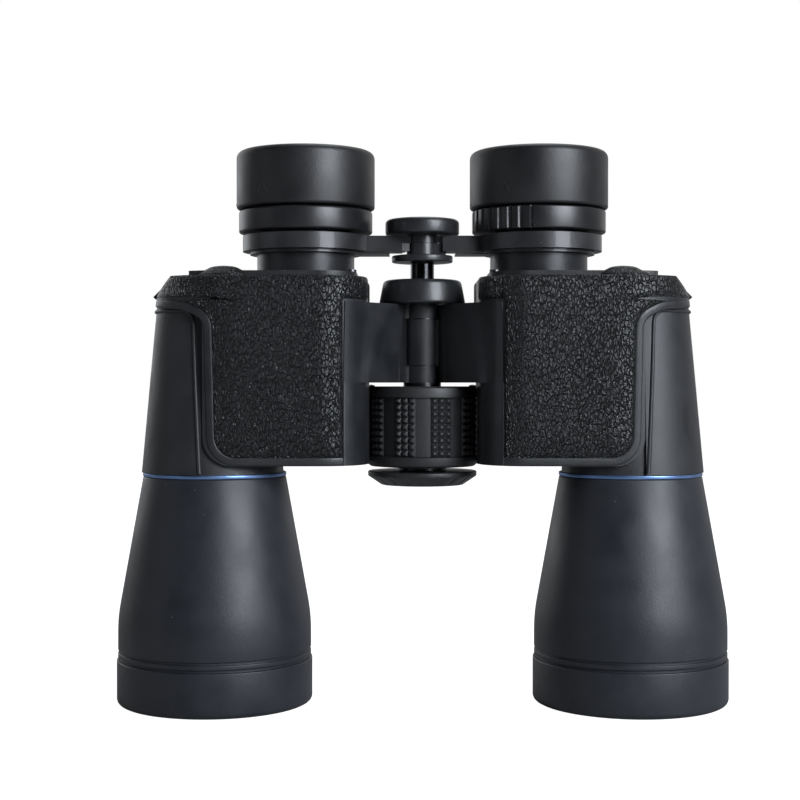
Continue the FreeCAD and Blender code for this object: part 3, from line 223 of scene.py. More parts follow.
def rounded(outline, steps=6):
    """Each corner (radius, height, rounding) becomes an arc tangent to its two edges:
    centre = corner + rounding / sin(half angle) along the angle's middle."""
    table = np.array([(*row, 0.0)[:3] for row in outline], dtype=float)
    corner = table[:, :2]
    before = np.roll(corner, 1, axis=0) - corner
    after = np.roll(corner, -1, axis=0) - corner
    room = 0.49 * np.minimum(np.linalg.norm(before, axis=1), np.linalg.norm(after, axis=1))
    before /= np.linalg.norm(before, axis=1)[:, None]
    after /= np.linalg.norm(after, axis=1)[:, None]
    half = 0.5 * np.arccos(np.clip((before * after).sum(axis=1), -1.0, 1.0))
    reach = np.minimum(table[:, 2] / np.tan(half), room)
    radius = reach * np.tan(half)
    middle = before + after
    middle /= np.maximum(np.linalg.norm(middle, axis=1), 1e-9)[:, None]
    centre = corner + middle * (radius / np.sin(half))[:, None]
    start = corner + before * reach[:, None] - centre
    end = corner + after * reach[:, None] - centre
    turn = np.maximum(math.pi - 2.0 * half, 1e-6)[:, None, None]
    share = np.linspace(0.0, 1.0, steps)[None, :, None]
    arc = (np.sin((1.0 - share) * turn) * start[:, None]
           + np.sin(share * turn) * end[:, None]) / np.sin(turn)
    return (centre[:, None] + arc).reshape(-1, 2)


def grid_faces(rows, columns, ring_rows=False):
    """Quads between neighbouring grid points; columns always close into a ring."""
    down = np.arange(rows if ring_rows else rows - 1)
    across = np.arange(columns)
    i, j = np.meshgrid(down, across, indexing="ij")
    below = (i + 1) % rows
    beside = (j + 1) % columns
    return np.stack([i * columns + j, below * columns + j,
                     below * columns + beside, i * columns + beside], -1).reshape(-1, 4)


def new_piece(name, points, faces, material, body, slot, replaced=(), sharp=32.0):
    """Puts millimetre points and faces into a mesh, merges doubles, turns the faces
    outwards, and fixes the piece to its body."""
    mesh = bpy.data.meshes.new(name)
    mesh.from_pydata((np.asarray(points).reshape(-1, 3) * 0.001).tolist(), [],
                     np.asarray(faces).tolist())
    work = bmesh.new()
    work.from_mesh(mesh)
    bmesh.ops.remove_doubles(work, verts=work.verts, dist=2e-6)
    bmesh.ops.recalc_face_normals(work, faces=work.faces)
    work.to_mesh(mesh)
    work.free()
    mesh.shade_smooth()
    mesh.set_sharp_from_angle(angle=math.radians(sharp))
    mesh.materials.append(material)
    piece = bpy.data.objects.new(name, mesh)
    bpy.context.scene.collection.objects.link(piece)
    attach(piece, body)
    if replaced:
        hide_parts(*replaced)
    return piece


def round_of(node):
    """Axis x, axis y, foot, top and radius of a round CAD node, in millimetres."""
    low, high = (np.array(corner) * 1000.0 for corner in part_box(node))
    middle = (low + high) / 2.0
    return middle[0], middle[1], low[2], high[2], (high[0] - low[0]) / 2.0


def swung(radius, height, angle, axis_x, axis_y):
    """Radius r at angle a and height z lies at (axis_x + r cos a, axis_y + r sin a, z)."""
    points = np.empty((len(height), len(angle), 3))
    points[..., 0] = axis_x + radius * np.cos(angle)
    points[..., 1] = axis_y + radius * np.sin(angle)
    points[..., 2] = height[:, None]
    return points, grid_faces(len(height), len(angle), ring_rows=True)


def turned(outline, axis_x, axis_y, turns=160):
    """Swings a rounded outline of (radius, height) points round an upright axis."""
    line = rounded(outline)
    angle = np.linspace(0.0, 2.0 * math.pi, turns, endpoint=False)
    return swung(line[:, :1], line[:, 1], angle, axis_x, axis_y)


barrel_coat = grained("barrel_coat", (0.0135, 0.0155, 0.0205), (0.020, 0.022, 0.028), 0.44,
                      0.00035, 0.00005, dust=0.16)
for side in ("left", "right"):
    axis_x, axis_y, foot, top, rim_r = round_of(f"{side}_objective_barrel")
    shoulder = round_of(f"{side}_trim_ring")[2]
    new_piece(
        f"{side}_barrel_shell",
        *turned([
            (rim_r - 3.5, foot, 0.6), (rim_r, foot, 2.6), (rim_r, foot + 13.8, 0.35),
            (rim_r - 1.0, foot + 13.8, 0.1), (rim_r - 1.0, foot + 14.6, 0.1),
            (rim_r - 0.4, foot + 14.6, 0.3), (rim_r - 0.4, foot + 16.1, 0.3),
            (rim_r - 1.0, foot + 16.1, 0.1), (rim_r - 1.0, foot + 16.9, 0.1),
            (rim_r - 0.4, foot + 16.9, 0.3), (rim_r - 0.4, foot + 26.84, 100.0),
            (22.2, shoulder, 0.6), (18.6, shoulder), (18.6, top), (16.8, top),
            (16.8, shoulder - 2.0), (26.4, foot + 36.0), (rim_r - 3.5, foot + 26.0),
        ], axis_x, axis_y, turns=192),
        barrel_coat, f"{side}_half", "barrel_finish", [f"{side}_objective_barrel"])


# ---- trim rings ----
# A blue anodised aluminium ring shows between barrel and neck.
blue_anodised = grained("blue_anodised", (0.16, 0.27, 0.52), (0.22, 0.35, 0.62), 0.34,
                        0.0002, 0.00001, dust=0.03, metal=0.85)
for side in ("left", "right"):
    axis_x, axis_y, foot, top, ring_r = round_of(f"{side}_trim_ring")
    new_piece(
        f"{side}_blue_ring",
        *turned([(18.7, foot), (ring_r, foot, 0.35), (ring_r, top, 0.35), (18.7, top)],
                axis_x, axis_y),
        blue_anodised, f"{side}_half", "blue_anodised", [f"{side}_trim_ring"])


# ---- neck armour ----
# Smooth, slightly rubbery armour is moulded over each barrel's neck, up to the shoulder.
armour_skin = grained("armour_skin", (0.014, 0.015, 0.017), (0.022, 0.023, 0.026), 0.46,
                      0.00030, 0.00006)


def bead(path, section, on_surface):
    """Section point (w, h) at path point (run, z) lies w along the path's right-hand
    normal and h proud of the surface; both ends are pinched shut."""
    length = np.concatenate([[0.0], np.cumsum(np.linalg.norm(np.diff(path, axis=0), axis=1))])
    even = np.linspace(0.0, length[-1], int(length[-1] / 0.6))
    path = np.stack([np.interp(even, length, path[:, 0]),
                     np.interp(even, length, path[:, 1])], 1)
    along = np.gradient(path, axis=0)
    along /= np.linalg.norm(along, axis=1)[:, None]
    run = path[:, :1] + along[:, 1:] * section[None, :, 0]
    z = path[:, 1:] - along[:, :1] * section[None, :, 0]
    points = on_surface(run, z, section[None, :, 1] + 0.0 * run)
    pinched = points.mean(axis=1, keepdims=True) + 0.0 * points
    return np.concatenate([pinched[:1], points, pinched[-1:]], 0)


NECK_AXIS_X = 65.2
NECK_FOOT_Z = 71.9
NECK_FOOT_R = 22.7
NECK_HEIGHT = 54.1
NECK_TAPER = 4.8
NECK_RUN_R = 20.0


def on_neck(run, z, proud):
    """The neck's cone for the right half: angle = run / the run radius from straight
    ahead, radius falling evenly by the taper from the trim ring to the shoulder."""
    radius = NECK_FOOT_R - NECK_TAPER * (z - NECK_FOOT_Z) / NECK_HEIGHT + proud
    turn = run / NECK_RUN_R
    return np.stack([NECK_AXIS_X + radius * np.sin(turn), -radius * np.cos(turn), z], -1)


half_round = NECK_RUN_R * math.pi
border_path = rounded([
    (1.9, 72.4), (5.0, 121.8, 4.0), (half_round - 5.0, 121.8, 4.0),
    (half_round - 1.9, 72.4), (30.0, 60.0)], 10)[9:31]
border_section = np.array([(-0.6, -0.5), (-0.6, 0.0), (-0.35, 0.32), (0.0, 0.42), (0.35, 0.32),
                           (0.6, 0.0), (0.6, -0.5)])
armour_border = bead(border_path, border_section, on_neck)
for side, way in (("left", -1.0), ("right", 1.0)):
    repaint(f"{side}_neck_armour", armour_skin)
    new_piece(f"{side}_armour_border", armour_border * np.array([way, 1.0, 1.0]),
              grid_faces(*armour_border.shape[:2]), armour_skin, f"{side}_half",
              "smooth_armour", sharp=60.0)


# ---- leather covering ----
# Each housing is wrapped in thin black leathercloth, glued on, with a fine creased grain.
# The creases stand mostly upright and are a little over a millimetre apart.
crease_group, coming, going = new_group(
    "leather_creases",
    [("Place", "NodeSocketVector", None), ("Size", "NodeSocketFloat", 0.00125)],
    [("Height", "NodeSocketFloat"), ("Ridge", "NodeSocketFloat")])
pitch = number_step(crease_group, "DIVIDE", 1.0, coming.outputs["Size"])
bent = crease_group.nodes.new("ShaderNodeTexNoise")
bent.inputs["Detail"].default_value = 2.0
joined_up(crease_group, coming.outputs["Place"], bent.inputs["Vector"])
joined_up(crease_group, number_step(crease_group, "MULTIPLY", pitch, 0.55),
          bent.inputs["Scale"])
shift = crease_group.nodes.new("ShaderNodeVectorMath")
shift.operation = "MULTIPLY_ADD"
shift.inputs[1].default_value = (0.0013, 0.0013, 0.0013)
joined_up(crease_group, bent.outputs["Color"], shift.inputs[0])
joined_up(crease_group, coming.outputs["Place"], shift.inputs[2])
longer = crease_group.nodes.new("ShaderNodeMapping")
longer.inputs["Scale"].default_value = (1.25, 1.25, 0.62)
joined_up(crease_group, shift.outputs[0], longer.inputs["Vector"])
cells = crease_group.nodes.new("ShaderNodeTexVoronoi")
cells.feature = "DISTANCE_TO_EDGE"
joined_up(crease_group, longer.outputs[0], cells.inputs["Vector"])
joined_up(crease_group, pitch, cells.inputs["Scale"])
crown = crease_group.nodes.new("ShaderNodeMapRange")
crown.interpolation_type = "SMOOTHSTEP"
crown.inputs["From Max"].default_value = 0.16
joined_up(crease_group, cells.outputs["Distance"], crown.inputs["Value"])
fibre = crease_group.nodes.new("ShaderNodeTexNoise")
fibre.inputs["Detail"].default_value = 4.0
joined_up(crease_group, coming.outputs["Place"], fibre.inputs["Vector"])
joined_up(crease_group, number_step(crease_group, "MULTIPLY", pitch, 2.4),
          fibre.inputs["Scale"])
joined_up(crease_group,
          number_step(crease_group, "ADD", crown.outputs[0],
                      number_step(crease_group, "MULTIPLY", fibre.outputs["Fac"], 0.55)),
          going.inputs["Height"])
joined_up(crease_group, crown.outputs[0], going.inputs["Ridge"])

leather, tree, shader, place = new_finish("black_leathercloth")
creases = tree.nodes.new("ShaderNodeGroup")
creases.node_tree = crease_group
joined_up(tree, place, creases.inputs["Place"])
patches = tree.nodes.new("ShaderNodeGroup")
patches.node_tree = grain_group
patches.inputs["Size"].default_value = 0.0005
joined_up(tree, place, patches.inputs["Place"])
# The base colour is near black in the creases and lighter on the cells between them: painted shade in
# the creases.
tone = blended(tree, creases.outputs["Ridge"], (0.002, 0.002, 0.002), (0.011, 0.0115, 0.013))
joined_up(tree, tone, shader.inputs["Base Color"])
joined_up(tree, spread(tree, patches.outputs["Patch"], 0.26, 0.36),
          shader.inputs["Roughness"])
raised_by(tree, shader, creases.outputs["Height"], 0.00042)

LEATHER_FOOT = 77.2
LEATHER_TOP = 132.15
SHOULDER_Z = 126.0
BEVEL_Z = 125.7
BEVEL_X = 83.2
BEVEL_SOFTNESS = 0.9
LEATHER_DEPTH = -1.2


def arc(centre, radius, start, end):
    """Points on a circle from one angle to the other, in degrees."""
    angle = np.radians(np.linspace(start, end, 60))
    return np.stack([centre[0] + radius * np.cos(angle),
                     centre[1] + radius * np.sin(angle)], 1)


# The housing's outline seen from above, for the right half, from the hinge side round
# the front, the outer side and the back.
housing_plan = np.concatenate([
    arc((31.5, -8.3), 14.0, 180.0, 270.0),
    arc((61.2, -0.3), 22.0, 270.0, 360.0),
    arc((61.2, 5.5), 22.0, 0.0, 90.0),
    arc((27.5, 17.5), 10.0, 90.0, 180.0)])
plan_run = np.concatenate([[0.0], np.cumsum(
    np.linalg.norm(np.diff(housing_plan, axis=0), axis=1))])
along_plan = np.linspace(0.0, plan_run[-1], 1600)
plan_x = np.interp(along_plan, plan_run, housing_plan[:, 0])
plan_y = np.interp(along_plan, plan_run, housing_plan[:, 1])
OUTER_RUN = plan_run[119] + 2.9


def run_at(x, back):
    """Distance along the outline to where its front, or its back, reaches x."""
    chosen = along_plan > OUTER_RUN + 3.0 if back else along_plan < OUTER_RUN - 3.0
    order = np.argsort(plan_x[chosen])
    return float(np.interp(x, plan_x[chosen][order], along_plan[chosen][order]))


def on_housing(run, z, proud):
    """The outline's point at that run, moved out along its normal by proud. From the
    bevel's foot up, x is held inside a 45 degree bevel, with a soft corner."""
    x = np.interp(run, along_plan, plan_x)
    y = np.interp(run, along_plan, plan_y)
    step_x = np.interp(run, along_plan, np.gradient(plan_x, along_plan))
    step_y = np.interp(run, along_plan, np.gradient(plan_y, along_plan))
    x = x + step_y * proud
    y = y - step_x * proud
    bevel = BEVEL_X + 1.414 * proud - (z - BEVEL_Z)
    x = -BEVEL_SOFTNESS * np.logaddexp(-x / BEVEL_SOFTNESS, -bevel / BEVEL_SOFTNESS)
    return np.stack(np.broadcast_arrays(x, y, z), -1)


def closed_sheet(outside, inside):
    """Joins two grids of the same size into one closed skin: outer columns, then inner
    columns back again, with the first and last row pinched shut."""
    ring = np.concatenate([outside, inside[:, ::-1]], 1)
    pinched = 0.5 * (ring + ring[:, ::-1])
    return np.concatenate([pinched[:1], ring, pinched[-1:]], 0)


def leather_edge(back):
    """Runs and heights of the covering's edge, from the hinge side to the outer side:
    along the foot, up the outer end, and in an S out to the shoulder."""
    steps = 14
    start = run_at(24.4, back)
    path = rounded([
        (start, LEATHER_FOOT), (run_at(62.7, back), LEATHER_FOOT, 6.5),
        (run_at(63.7, back), 120.4, 7.0), (run_at(72.0, back), 124.3, 15.0),
        (OUTER_RUN, SHOULDER_Z), (OUTER_RUN, LEATHER_TOP), (start, LEATHER_TOP)], steps)
    return path[steps - 1:4 * steps + 1]


def leather_half(back):
    """Front or back of the covering: each row of the grid runs at one height from the
    hinge side to the edge. The sheet thins out within 1.2 mm of its edge and swells
    over the next 8 mm, like a padded panel."""
    edge = leather_edge(back)
    start = edge[0, 0]
    way = -1.0 if back else 1.0
    height = np.concatenate([edge[:, 1], [127.0, 128.0, 129.0, 130.0, 131.0, 131.6, 132.15]])
    end = np.concatenate([edge[:, 0], np.full(7, OUTER_RUN)])
    end[0] = edge[1, 0]
    near = np.array([0.0, 0.25, 0.6, 0.9, 1.3, 2.2]) * way
    share = np.linspace(0.0, 1.0, 72)[None, 1:-1]
    end = end[:, None]
    run = np.concatenate([start + near + 0.0 * end,
                          start + 2.2 * way + (end - start - 4.4 * way) * share,
                          end - near[::-1]], 1)
    tall = height[:, None] + 0.0 * run
    length = np.concatenate([[0.0], np.cumsum(np.linalg.norm(np.diff(edge, axis=0), axis=1))])
    dense = np.linspace(0.0, length[-1], 400)
    edge_run = np.interp(dense, length, edge[:, 0])
    edge_z = np.interp(dense, length, edge[:, 1])
    gap = np.sqrt(((run[..., None] - edge_run) ** 2
                   + (tall[..., None] - edge_z) ** 2).min(axis=-1))
    gap = np.minimum(gap, np.where(tall > 125.2, 9.0, np.abs(run - start)))
    gap = np.minimum(gap, LEATHER_TOP - tall)
    soft = np.clip(gap / 1.2, 0.0, 1.0)
    soft = soft * (2.0 - soft)
    swell = np.clip(np.minimum(gap, 8.0) / 8.0, 0.0, 1.0)
    swell = swell * (2.0 - swell) * np.clip((131.0 - tall) / 8.0, 0.0, 1.0)
    outer = np.clip((np.abs(run - start) - 42.0) / 25.0, 0.0, 1.0)
    proud = (0.12 + 0.55 * soft + 0.95 * swell) * (1.0 - 0.6 * outer)
    return closed_sheet(on_housing(run, tall, proud), on_housing(run, tall, LEATHER_DEPTH + 0.0 * run))


def leather_tab(back):
    """The strip above the hinge cheek, from the covering to the housing's inner face."""
    start = run_at(24.4, back)
    end = plan_run[-1] - 0.5 if back else 0.5
    height = np.array([125.2, 125.5, 125.9, 126.5, 128.0, 130.0, 131.0, 131.7, 132.15])[:, None]
    way = 1.0 if back else -1.0
    run = start - 0.6 * way + (end - start + 0.6 * way) * np.linspace(0.0, 1.0, 30)[None, :]
    run = run + 0.0 * height
    tall = height + 0.0 * run
    gap = np.minimum(np.minimum(tall - 125.2, LEATHER_TOP - tall), np.abs(end - run))
    soft = np.clip(gap / 1.2, 0.0, 1.0)
    proud = 0.10 + 0.57 * soft * (2.0 - soft)
    return closed_sheet(on_housing(run, tall, proud), on_housing(run, tall, LEATHER_DEPTH + 0.0 * run))


def together(parts):
    """Several grids as one list of points and faces."""
    faces, count = [], 0
    for part in parts:
        faces.append(grid_faces(*part.shape[:2]) + count)
        count += part.shape[0] * part.shape[1]
    return np.concatenate([part.reshape(-1, 3) for part in parts]), np.concatenate(faces)


leather_parts = [leather_half(False), leather_half(True), leather_tab(False), leather_tab(True)]
leather_points, leather_faces = together(leather_parts)
rim_section = np.array([(-0.15, -1.0), (-0.15, 0.08), (0.15, 0.26), (0.5, 0.32), (1.9, 0.34),
                        (2.25, 0.22), (2.45, -0.1), (2.5, -1.0)])
rim_path = np.concatenate([leather_edge(False), leather_edge(True)[::-1]])
leather_rim = bead(rim_path, rim_section, on_housing)
for side, way in (("left", -1.0), ("right", 1.0)):
    facing = np.array([way, 1.0, 1.0])
    new_piece(f"{side}_leather", leather_points * facing, leather_faces, leather,
              f"{side}_half", "textured_rubber", [f"{side}_covering"], sharp=60.0)
    new_piece(f"{side}_leather_rim", leather_rim * facing, grid_faces(*leather_rim.shape[:2]),
              casting_paint, f"{side}_half", "painted_casting", sharp=60.0)


# ---- lenses, cells and prisms ----
# The cemented objective pair is coated and shows green and violet; cells and retainers
# are black anodised. The prisms are plain optical glass.

def optical_glass(name, tint, film):
    """Clear glass with a thin film of the given thickness in nanometres."""
    material, tree, shader, place = new_finish(name)
    skin = tree.nodes.new("ShaderNodeGroup")
    skin.node_tree = grain_group
    skin.inputs["Size"].default_value = 0.0012
    joined_up(tree, place, skin.inputs["Place"])
    joined_up(tree, blended(tree, skin.outputs["Patch"], tint, (0.93, 0.96, 0.95)),
              shader.inputs["Base Color"])
    joined_up(tree, spread(tree, skin.outputs["Patch"], 0.01, 0.04),
              shader.inputs["Roughness"])
    shader.inputs["Transmission Weight"].default_value = 1.0
    shader.inputs["IOR"].default_value = 1.52
    shader.inputs["Thin Film Thickness"].default_value = film
    shader.inputs["Thin Film IOR"].default_value = 1.38
    return material


coated_glass = optical_glass("coated_glass", (0.80, 0.93, 0.86), 430.0)
prism_glass = optical_glass("prism_glass", (0.90, 0.95, 0.93), 0.0)
cell_black = grained("cell_black", (0.008, 0.008, 0.009), (0.014, 0.014, 0.015), 0.38,
                     0.0002, 0.00002, metal=0.3)
for side in ("left", "right"):
    for lens in ("crown_lens", "flint_lens", "eye_lens", "field_lens"):
        repaint(f"{side}_{lens}", coated_glass)
    for prism in ("objective_prism", "eyepiece_prism"):
        repaint(f"{side}_{prism}", prism_glass)
    for cell in ("lens_cell", "lens_retainer", "ocular_cell"):
        repaint(f"{side}_{cell}", cell_black)


# ---- cover mounds ----
# A low mound of the same leathercloth, longer than it is wide, hides each half's front
# outer screw.
mound, mound_faces = turned([(0.0, 131.5), (4.7, 131.5), (4.7, 132.6, 0.8), (2.1, 134.9, 2.4),
                             (0.0, 135.2)], 0.0, -17.6, turns=96)
for side, way in (("left", -1.0), ("right", 1.0)):
    new_piece(f"{side}_cover_mound", mound * (1.7, 1.0, 1.0) + (way * 60.4, 0.0, 0.0),
              mound_faces, leather, f"{side}_half", "textured_rubber", sharp=60.0)


# ---- hinge ----
# The knuckles of the two castings turn on one steel axle with thrust washers in the
# joints. Smooth cheeks, cast with the arms, sweep from the covering's edge to the hinge,
# and a low guard stands behind each side of the focus wheel.
axle_steel = grained("axle_steel", (0.06, 0.06, 0.062), (0.10, 0.10, 0.105), 0.26, 0.0002,
                     0.00001, metal=1.0)
repaint("hinge_axle", axle_steel)
repaint("hinge_washers", axle_steel)
repaint("tripod_socket", axle_steel)

# The cheeks and wheel guards get a darker copy of the casting paint: the darker colour is painted
# shade.
shaded_cheek_paint = grained("shaded_cheek_paint", (0.011, 0.012, 0.014), (0.018, 0.019, 0.022), 0.36,
                      0.00025, 0.00006, coat=0.2)
HINGE_Z = (99.8, 124.4)
CHEEK_THICK = 1.4
CORNER = np.array([31.5, -8.3])
CORNER_R = 14.0
CORNER_PROUD = 0.45


def stood_up(ring, height, side):
    """Plan outlines (row, point, x or y) at the rows' heights, capped flat at both ends;
    the left half is the mirror of the right."""
    middle_line = 0.5 * (ring + ring[:, ::-1])
    ring = np.concatenate([middle_line[:1], ring, middle_line[-1:]], 0)
    points = np.empty((*ring.shape[:2], 3))
    points[..., 0] = ring[..., 0] * (-1.0 if side == "left" else 1.0)
    points[..., 1] = ring[..., 1]
    points[..., 2] = np.concatenate([height[:1], height, height[-1:]])[:, None]
    return points, grid_faces(*ring.shape[:2])


def small_post(line, heights, way):
    """A plan outline standing between two heights; its first and last rows shrink to the
    outline's middle and close the ends."""
    middle = line.mean(axis=0)
    rows = middle + (line - middle) * np.array([0.0, 1.0, 1.0, 0.0])[:, None, None]
    tall = np.array(heights)[:, None, None] + 0.0 * rows[..., :1]
    return np.concatenate([rows * (way, 1.0), tall], 2), grid_faces(4, len(line))


def cheek(side):
    """The front runs from the covering's edge to a crest, then steeply back to the
    knuckles; the crest bows inwards towards the top. Row z, column u: x and y are straight
    lines between the edges, pushed out to the casting's round corner and averaged over
    neighbouring columns to round the crest. The back is the same grid further back."""
    share = np.linspace(0.0, 1.0, 25)[:, None]
    height = HINGE_Z[0] + (HINGE_Z[1] - HINGE_Z[0]) * share
    crest = np.concatenate([15.9 - 6.3 * share ** 1.9, -13.2 + 8.5 * share ** 1.7], 1)
    inner = np.concatenate([8.0 - 1.9 * share, -2.5 + 2.7 * share], 1)
    outer = np.array([24.4, -20.5])
    flat = np.linspace(0.0, 1.0, 22)[None, :, None]
    steep = np.linspace(0.0, 1.0, 14)[None, 1:, None]
    last = np.array([4.95, 5.0])
    front = np.concatenate([outer + (crest[:, None] - outer) * flat,
                            crest[:, None] + (inner - crest)[:, None] * steep,
                            inner[:, None] + (last - inner)[:, None] * steep], 1)
    across = np.clip(CORNER[0] - front[..., 0], 0.0, CORNER_R)
    corner_y = CORNER[1] - np.sqrt(CORNER_R ** 2 - across ** 2) - CORNER_PROUD
    front[..., 1] = np.where(front[..., 0] > 17.6,
                             np.minimum(front[..., 1], corner_y), front[..., 1])
    padded = np.concatenate([front[:, :1]] * 2 + [front] + [front[:, -1:]] * 2, 1)
    front[:, 1:-1] = sum(padded[:, k + 1:k + front.shape[1] - 1] for k in range(5)) / 5.0
    front[:, 0] = (24.5, -19.8)
    back = front + np.array([0.0, CHEEK_THICK])
    return stood_up(np.concatenate([front, back[:, ::-1]], 1), height[:, 0], side)


def wheel_cheek(side):
    """The cheek's lower part, beside the wheel: the front follows the casting's round
    corner from the covering's edge and ends in a lip just inside the housing's face."""
    angle = np.radians(np.concatenate([[239.8, 239.5, 238.9, 237.9],
                                       np.linspace(236.5, 190.0, 18)]))
    reach = CORNER_R + CORNER_PROUD - np.array([0.6, 0.25, 0.08] + [0.0] * 19)
    corner = CORNER + reach[:, None] * np.stack([np.cos(angle), np.sin(angle)], 1)
    front = np.concatenate([corner, [(16.9, -9.0), (16.65, -7.8), (16.6, -6.5)]])
    back = np.concatenate([corner + (0.6, 1.2), [(17.7, -8.6), (17.75, -7.6), (17.8, -6.5)]])
    height = np.concatenate([np.linspace(74.75, 75.2, 3), [98.4, 99.0, 99.8]])
    ring = np.concatenate([front, back[::-1]])[None, :, :] + np.zeros((len(height), 1, 1))
    return stood_up(ring, height, side)


guard_line = np.array([(17.7, 17.0), (15.4, 18.4), (15.3, 19.0), (15.4, 19.6), (18.3, 20.8)])
for side, way in (("left", -1.0), ("right", 1.0)):
    new_piece(f"{side}_wheel_guard", *small_post(guard_line, (74.9, 75.2, 98.9, 99.2), way),
              shaded_cheek_paint, f"{side}_half", "painted_casting")
    new_piece(f"{side}_hinge_cheek", *cheek(side), shaded_cheek_paint, f"{side}_half",
              "painted_casting", sharp=50.0)
    new_piece(f"{side}_wheel_cheek", *wheel_cheek(side), shaded_cheek_paint, f"{side}_half",
              "painted_casting", sharp=50.0)


# ---- hinge collar, focus wheel and focus shaft ----
# A tapered collar caps the hinge. Below it the focus wheel turns on the axle: a metal
# core in a rubber grip with nine blocks of pyramids. The polished shaft runs up from it.
satin_black = grained("satin_black", (0.020, 0.021, 0.023), (0.030, 0.031, 0.034), 0.34,
                      0.0003, 0.00004, metal=0.2, coat=0.1)
axis_x, axis_y, foot, top, collar_r = round_of("hinge_collar")
new_piece(
    "tapered_collar",
    *turned([(4.5, foot), (collar_r, foot, 0.8), (12.3, top, 1.6), (4.5, top)],
            axis_x, axis_y),
    satin_black, "left_half", "satin_black_metal", ["hinge_collar"])

repaint("focus_wheel", satin_black)
shaft_steel = grained("shaft_steel", (0.035, 0.035, 0.038), (0.055, 0.055, 0.058), 0.16,
                      0.0002, 0.00001, dust=0.03, metal=1.0)
repaint("focus_rod", shaft_steel)

grip_rubber = grained("grip_rubber", (0.013, 0.013, 0.014), (0.021, 0.021, 0.022), 0.50,
                      0.0003, 0.00005)
axis_x, axis_y, foot, top, grip_r = round_of("focus_grip")
BAND = 3.4
BLOCK = 23.0
PITCH = 40.0
ROWS = 9
COLUMNS = 3


def grip():
    """At angle a and height z the radius is the recess plus a pyramid: 0.75 mm times one
    minus the larger distance from the middle of its cell, cut flat near its top; bands
    and recesses between the blocks are smooth."""
    angle = np.linspace(0.0, 360.0, 27 * 18 + 1)[:-1]
    inside = np.concatenate([
        [foot, foot, foot + 0.5, foot + 1.2, foot + BAND - 0.35, foot + BAND],
        np.linspace(foot + BAND + 0.01, top - BAND - 0.01, ROWS * 6 + 1),
        [top - BAND, top - BAND + 0.35, top - 1.2, top - 0.5, top, top]])
    local = angle % PITCH - (PITCH - BLOCK) / 2.0
    column = local / (BLOCK / COLUMNS)
    row = (inside - foot - BAND) / ((top - foot - 2.0 * BAND) / ROWS)
    off_x = np.abs(column % 1.0 - 0.5) * 2.0
    off_z = np.abs(row % 1.0 - 0.5) * 2.0
    knob = np.clip(1.25 * (1.0 - np.maximum(off_x[None, :], off_z[:, None])), 0.0, 0.85)
    blocked = ((local >= 0.0) & (local <= BLOCK))[None, :]
    patterned = ((row > 0.0) & (row < ROWS))[:, None]
    radius = np.where(blocked & patterned, grip_r - 0.95 + knob, grip_r - 1.05)
    radius = np.where(patterned, radius, grip_r)
    radius[(inside == foot + 0.5) | (inside == top - 0.5)] = grip_r - 0.25
    radius[[1, -2]] = grip_r - 0.9
    radius[[0, -1]] = grip_r - 2.0
    return swung(radius, inside, np.radians(angle - 90.0), axis_x, axis_y)


new_piece("pyramid_grip", *grip(), grip_rubber, "focus_wheel", "grip_rubber",
          ["focus_grip"], sharp=24.0)


# ---- tripod cap ----
# A black plastic cap closes the tripod socket; scallops round its bevel give a grip.
cap_plastic = grained("cap_plastic", (0.014, 0.014, 0.015), (0.022, 0.022, 0.023), 0.40,
                      0.0004, 0.00004)
axis_x, axis_y, foot, top, _ = round_of("tripod_cap")
lid_r = 17.3
lid_top = foot + 4.4
scallops = 20.0
scoop_depth = 1.1
line = rounded([
    (0.0, foot), (13.0, foot, 0.6), (lid_r, lid_top - 1.5, 0.5), (lid_r, lid_top, 0.4),
    (3.05, lid_top), (3.05, top, 0.4), (0.0, top)])
angle = np.linspace(0.0, 2.0 * math.pi, 240, endpoint=False)
scoop = scoop_depth * np.clip(1.5 * np.cos(scallops * angle) - 0.3, 0.0, 1.0)
on_bevel = np.clip(np.minimum((line[:, 0] - 12.6) / 2.0,
                              (lid_top - 1.2 - line[:, 1]) / 1.0), 0.0, 1.0)
new_piece("scalloped_cap",
          *swung(line[:, :1] - on_bevel[:, None] * scoop, line[:, 1], angle, axis_x, axis_y),
          cap_plastic, "tripod_cap", "black_plastic", ["tripod_cap"])


# ---- bridge ----
# Two cast arms join the eyepieces to the focus shaft: a washer below, one knuckle each,
# and a round cap screwed on top.
bridge_black = grained("bridge_black", (0.020, 0.020, 0.022), (0.032, 0.032, 0.035), 0.36,
                       0.0003, 0.00004, coat=0.15)
for side in ("left", "right"):
    repaint(f"{side}_bridge_arm", bridge_black)
# A fairing on each arm narrows the gap beside the other arm's knuckle.
fairing_line = np.array([(6.7, 3.8), (4.1, 4.3), (5.3, 6.2), (5.35, 9.8), (6.7, 11.8)])
for side, way, heights in (("left", -1.0, (141.4, 141.4, 143.9, 143.9)),
                           ("right", 1.0, (144.15, 144.15, 146.15, 146.15))):
    new_piece(f"{side}_arm_fairing", *small_post(fairing_line, heights, way), bridge_black,
              f"{side}_eyepiece", "painted_casting")
axis_x, axis_y, foot, top, washer_r = round_of("bridge_washer")
new_piece(
    "bridge_disc",
    *turned([(3.0, foot), (washer_r, foot, 0.4), (washer_r, top, 0.4), (3.0, top)],
            axis_x, axis_y),
    satin_black, "left_eyepiece", "satin_black_metal", ["bridge_washer"])
axis_x, axis_y, foot, top, cap_r = round_of("bridge_cap")
new_piece(
    "bridge_button",
    *turned([(0.0, foot + 1.1), (3.1, foot + 1.1), (3.1, foot), (cap_r, foot, 0.7),
             (cap_r, top, 1.4), (0.0, top)], axis_x, axis_y),
    satin_black, "left_eyepiece", "satin_black_metal", ["bridge_cap"])


